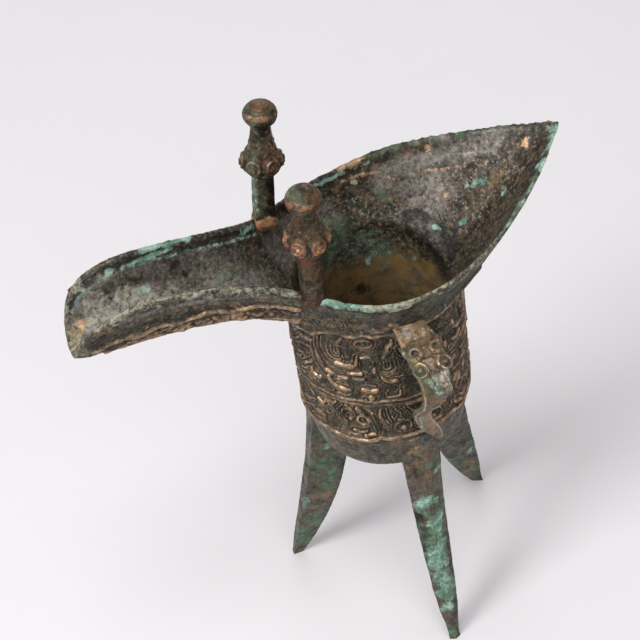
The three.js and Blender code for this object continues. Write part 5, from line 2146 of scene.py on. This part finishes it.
    def build(self, patina: Material, mouth: Mouth) -> None:
        """Builds the shaft and its cap.

        Args:
            patina: Their finish.
            mouth: The mouth whose rim carries them.
        """
        seat = self.seat - float(mouth.wall_top(self.x))
        shaft = as_object(self.shaft(seat + self.bell_foot + self.gap / 2), f"post_{self.name}_shaft")
        self.dress_shaft(shaft.data)
        cap = as_object(self.cap(seat + self.gap), f"post_{self.name}_bell")
        self.dress_cap(cap.data, seat)
        for obj, node in ((shaft, "post"), (cap, "post_cap")):
            obj.data.transform(self.place(mouth))
            finish_piece(obj, patina, f"{node}_{self.name}")


# handle


HANDLE_STAINS = stains({
    Tint.COPPER: ((1.6, 0.8, (-6.1, -30.8, 157.6), (-1.2, -31.4, 158.2)),),
    Tint.PALE: (
        (2.2, 0.5, (-2.4, -34, 156), (2.4, -35, 156)),
        (1.8, 0.7, (8.9, -26.3, 97.5), (6.8, -27.5, 98.5)),
        (4, 0.42, (0, -40, 120), (3, -33, 109), (8, -27, 98)),
    ),
    Tint.GREEN: ((5, 0.9, (-3.1, -47.4, 139.6)),),
    Tint.WARM: (
        (3.2, 0.8, (-1, -42.6, 126), (0.5, -38, 117)),
        (5, 1, (0, -40, 120), (3, -33, 109), (8, -27, 98)),
    ),
    Tint.TURQUOISE: ((1, 0.8, (-3.3, -41, 122), (-1.4, -34.5, 111), (1.8, -29.5, 103)),),
})


@dataclass
class Handle:
    """The loop handle and the ox head on its shoulder."""

    # Distance from the cup's axis, height, and angle round the axis in degrees
    line: tuple[Point3, ...] = (
        (26.5, 159, -91), (33, 154.5, -91), (40, 148, -90), (45.5, 141.5, -89.5), (45.5, 133, -90.5),
        (40.5, 125, -93.6), (35.5, 114, -90.4), (31.8, 102, -81.4), (28.6, 94.5, -75.5),
    )
    width_top: float = 11.0
    width_low: float = 6.0
    thick: float = 3.0
    head_out: float = 35.5
    head_up: float = 152.6
    head_tilt: float = 20.0
    head_length: float = 21.0
    ring_place: Point2 = (11.2, 4.3)
    horn_place: Point2 = (5.4, 3.9)

    def strap(self) -> BMesh:
        """The flat strap of the loop.

        Returns:
            The shape in millimetres.
        """
        points = []
        for r, z, degrees in self.line:
            a = math.radians(degrees)
            points.append((r * math.cos(a), r * math.sin(a), z))
        path = spline(points, 0.45)
        step = np.linalg.norm(np.diff(path, axis=0), axis=1)
        share = np.concatenate([[0], np.cumsum(step)]) / step.sum()
        along = unit(np.gradient(path, axis=0))
        outward = unit(np.stack([path[:, 0], path[:, 1], np.zeros(len(path))], 1))
        across = np.cross([0, 0, 1], outward)
        thick = np.cross(along, across)
        half = self.width_low / 2 + (self.width_top - self.width_low) / 2 * (1 - smoothstep(0.1, 0.7, share))
        half = half * (1 - 0.5 * smoothstep(0.78, 1.0, share))

        def place(s: Array, t: Array) -> Array:
            """Points of the strap's skin."""
            i = np.rint(s * (len(path) - 1)).astype(int)
            u, v = squared(2 * math.pi * t, 0.5, 0.6)
            return path[i] + across[i] * (u * half[i])[:, None] + thick[i] * (v * self.thick / 2)[:, None]

        return skin(len(path) - 1, 72, place)

    def skull(self) -> list[BMesh]:
        """The head's masses, in its own frame: X to the muzzle, Y across, Z off the strap.

        Returns:
            The shapes, which run into each other.
        """
        length = self.head_length
        half = Curve(((0, 5.2), (4, 5.8), (9.5, 6.4), (13, 5.2), (17, 3.6), (length, 3.0)))
        tall = Curve(((0, 3.2), (4, 4.6), (9, 5.0), (13, 5.0), (19, 5.2), (length, 3.8)))

        def place(s: Array, t: Array) -> Array:
            """Points of the skull."""
            x = length * s
            u, v = squared(2 * math.pi * t, 0.8, 0.8)
            return np.stack([x, half(x) * u, tall(x) * 0.5 * (1 + v) - 1.5], 1)

        muzzle = ball((16.4, 0, 2.0), (4.9, 2.5, 1.9))
        nose_bridge = ball((10.0, 0, 2.7), (5.0, 2.1, 1.2))
        nostrils = ball((19.4, 0, 1.3), (1.9, 3.0, 2.1))
        parts = [skin(50, 48, place), muzzle, nose_bridge, nostrils]
        eye_x, eye_y = self.ring_place
        horn_x, horn_y = self.horn_place
        for hand in (-1, 1):
            curl = [
                (horn_x + r * math.cos(a), hand * (horn_y - r * math.sin(a)), 4.2 - 0.2 * a)
                for a, r in ((0.18 * i * math.pi, 2.5 - 0.17 * i) for i in range(12))
            ]
            path = spline(curl, 0.3)
            parts.append(tube(path, np.linspace(1.05, 0.55, len(path)), 14))
            parts.append(ball((3.4, hand * 5.8, 1.6), (2.4, 1.3, 1.2)))
            ring = [
                (eye_x + 2.5 * math.cos(a), hand * (eye_y + 2.1 * math.sin(a)), 2.8 - 0.45 * math.sin(a))
                for a in np.linspace(0, 2 * math.pi, 14, endpoint=False)
            ]
            path = spline(ring, 0.35, True)
            parts.append(tube(path, np.full(len(path), 0.58), 12, True))
            parts.append(ball((eye_x, hand * eye_y, 2.8), (1.25, 1.25, 1.2)))
        return parts

    def dress_strap(self, mesh: Mesh) -> None:
        """Wears and marks the strap.

        Args:
            mesh: Its mesh.
        """
        p, n = surface(mesh)
        worn = 0.1 * fractal(p, 4.0, 3, 6.0) + 0.05 * fractal(p, 1.2, 2)
        move_to(mesh, p + n * (worn - 0.06)[:, None])
        edge = smoothstep(0.35, 0.1, np.abs(np.abs(n[:, 0]) - 0.62)) * (n[:, 1] < 0.2)
        side_face = smoothstep(0.5, 0.95, np.abs(n[:, 0]))
        marks = Marks.clear(len(p))
        marks.green = 0.2 + 0.4 * side_face
        marks.turquoise = 0.5 * smoothstep(-0.4, -0.8, n[:, 0]) * (p[:, 2] < 122)
        # Painted shade: faces turned towards the cup, above height 100, are darkened; the side faces are
        # darker too
        marks.dark = 0.85 * smoothstep(0.2, 0.7, n[:, 1]) * (p[:, 2] > 100) + 0.35 * side_face
        marks.raised = 0.55 * edge + 0.35 * (n[:, 1] < -0.6)
        marks.copper = 0.12 + 0.3 * (p[:, 2] > 146)
        marks.warm = 0.3 + 0.35 * (n[:, 1] < -0.5)
        marks.stain(p, HANDLE_STAINS)
        marks.write(mesh)

    def dress_head(self, mesh: Mesh) -> None:
        """Cuts the head's brow, cheeks and nostrils, and marks it.

        Args:
            mesh: Its mesh in its own frame.
        """
        p, n = surface(mesh)
        x, y, z = p.T
        side = np.abs(y)
        brow = smoothstep(0.5, 0.12, np.abs(x - 8.0 + 0.1 * y * y)) * (side < 3.0)
        cheek = smoothstep(0.45, 0.1, np.abs(side - 2.35 + 0.03 * (x - 12))) * (x > 12) * (x < 19.5)
        nostril = smoothstep(0.85, 0.35, np.hypot(x - 20.0, side - 1.5)) * (z > 1.0)
        eye = np.hypot(x - self.ring_place[0], side - self.ring_place[1])
        socket = smoothstep(1.9, 1.3, eye) * smoothstep(0.95, 1.2, eye)
        groove = np.clip(brow + cheek + nostril, 0, 1) * (n[:, 2] > 0.1)
        dent = 0.08 * fractal(p, 2.5, 3, 8.0) + 0.04 * fractal(p, 0.9, 2, 1.0)
        move_to(mesh, p + n * (dent - 0.12 - 0.45 * groove)[:, None])
        horn = np.hypot(x - self.horn_place[0], side - self.horn_place[1])
        curl_gap = smoothstep(1.5, 0.9, horn) * (z < 4.2) * (z > 1.4)
        ring = 0.5 * smoothstep(0.6, 0.2, np.abs(eye - 2.3)) * (z > 2.4)
        # Painted shade: the head's underside is darkened through the hollow mark below; it also takes some
        # green
        under = smoothstep(0.1, -0.5, n[:, 2])
        muzzle = smoothstep(12.5, 15, x) * (n[:, 2] > 0.1)
        marks = Marks.clear(len(p))
        marks.hollow = np.clip(groove * 0.8 + socket + curl_gap + 0.8 * under, 0, 1)
        marks.raised = smoothstep(2.8, 4.2, z) * 0.6 + ring
        marks.copper = 0.2 + 0.2 * (x < 8)
        marks.pale = 0.55 * muzzle * smoothstep(-0.8, 0.8, y) + 0.1
        marks.turquoise = 0.5 * muzzle * smoothstep(0.6, -1.2, y)
        marks.green = 0.42 * smoothstep(-2.6, -4.6, y) + 0.35 * under + 0.15
        marks.warm = 0.35 + 0.2 * (x < 9)
        marks.speckle = np.full(len(p), 0.4)
        marks.write(mesh)

    def build(self, patina: Material) -> None:
        """Builds the strap and the head.

        Args:
            patina: Their finish.
        """
        strap = as_object(self.strap(), "handle_loop")
        self.dress_strap(strap.data)
        masses = [as_object(part, "handle_ox_mask") for part in self.skull()]
        head = masses[0]
        for mass in masses[1:]:
            cut(head, mass, Join.ADD)
        remesh(head, 0.2, 2)
        self.dress_head(head.data)
        head.data.transform(
            Matrix.Rotation(math.radians(-90), 4, "Z")
            @ Matrix.Translation((self.head_out, 0, self.head_up))
            @ Matrix.Rotation(math.radians(self.head_tilt), 4, "Y")
        )
        finish_piece(strap, patina, "handle_strap")
        finish_piece(head, patina, "handle_ox_head")


# studio


@dataclass(frozen=True)
class Studio:
    """Floor, lamps and camera, whose places are in millimetres."""

    floor_size: float = 8.0
    floor_colour: Colour = (214, 211, 214)
    floor_shade: Colour = (211, 208, 211)
    world_strength: float = 0.55
    eye: Point3 = (-117.86, -378.42, 543.09)
    target: Point3 = (4.5, 39.95, 109.3)
    roll: float = 9.3
    lens: float = 95.68

    def floor(self) -> None:
        """A plain pale floor, in metres."""
        bm = bmesh.new()
        bmesh.ops.create_grid(bm, x_segments=2, y_segments=2, size=self.floor_size / 2)
        obj = as_object(bm, "floor")
        g = Graph("floor_paper")
        tone = g.mix(g.mottle(90.0, 3.0, 0.6), self.floor_colour, self.floor_shade)
        obj.data.materials.append(g.end(g.node("ShaderNodeBsdfPrincipled", Base_Color=tone, Roughness=0.7)))

    def lamp(self, name: str, place: Point3, size: float, watts: float) -> None:
        """A soft square lamp that looks at the vessel.

        Args:
            name: Its name.
            place: Where it stands, in metres.
            size: Its width in metres.
            watts: Its power.
        """
        data = bpy.data.lights.new(name, "AREA")
        data.size = size
        data.energy = watts
        obj = bpy.data.objects.new(name, data)
        obj.location = place
        aim = Vector(self.target) * MM - Vector(place)
        obj.rotation_euler = aim.to_track_quat("-Z", "Y").to_euler()
        bpy.context.scene.collection.objects.link(obj)

    def camera(self) -> None:
        """The camera at the photograph's angle."""
        data = bpy.data.cameras.new("view")
        data.lens = self.lens
        data.sensor_width = 36.0
        data.clip_start = 0.05
        obj = bpy.data.objects.new("view", data)
        eye = Vector(self.eye) * MM
        aim = (Vector(self.target) * MM - eye).to_track_quat("-Z", "Y").to_matrix().to_4x4()
        obj.matrix_world = Matrix.Translation(eye) @ aim @ Matrix.Rotation(math.radians(-self.roll), 4, "Z")
        bpy.context.scene.collection.objects.link(obj)
        bpy.context.scene.camera = obj

    def build(self) -> None:
        """Sets up the whole studio."""
        self.camera()
        self.floor()
        self.lamp("key", (-0.82, -0.2, 0.98), 0.42, 9.5)
        self.lamp("front", (0.05, -0.95, 0.95), 0.8, 3.0)
        self.lamp("back", (0.35, 0.95, 0.7), 0.8, 2.0)
        self.lamp("top", (-0.1, -0.3, 1.5), 0.5, 6.0)
        world = bpy.data.worlds.new("room")
        world.use_nodes = True
        back = world.node_tree.nodes["Background"]
        back.inputs["Color"].default_value = (1.0, 1.0, 1.0, 1.0)
        back.inputs["Strength"].default_value = self.world_strength
        bpy.context.scene.world = world
        bpy.context.scene.view_settings.view_transform = "Standard"


def main() -> None:
    """Builds the scene."""
    logging.basicConfig(level=logging.INFO, format="%(message)s")
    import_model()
    Studio().build()
    vessel = Vessel()
    vessel.build(BODY_PATINA.build())
    leg_finish = LEG_PATINA.build()
    for leg in (
        Leg("leg_front", -92.5, 1.7, 0.8, 1.03, 4.6),
        Leg("leg_spout_side", 152.0, 0.0, 0.0, 1.0, 4.4, bow=1.3),
        Leg("leg_tail_side", 28.0, -3.2, 0.0, 1.42, 9.0, 1.5, 1.6),
    ):
        leg.build(leg_finish)
    post_finish = POST_PATINA.build()
    for post in (Post(Side.NEAR, (1.2, -2.3), 9.1, 2.7), Post(Side.FAR, (5.1, 1.2), 7.2, 2.0)):
        post.build(post_finish, vessel.mouth)
    Handle().build(HANDLE_PATINA.build())


if __name__ == "__main__":
    main()
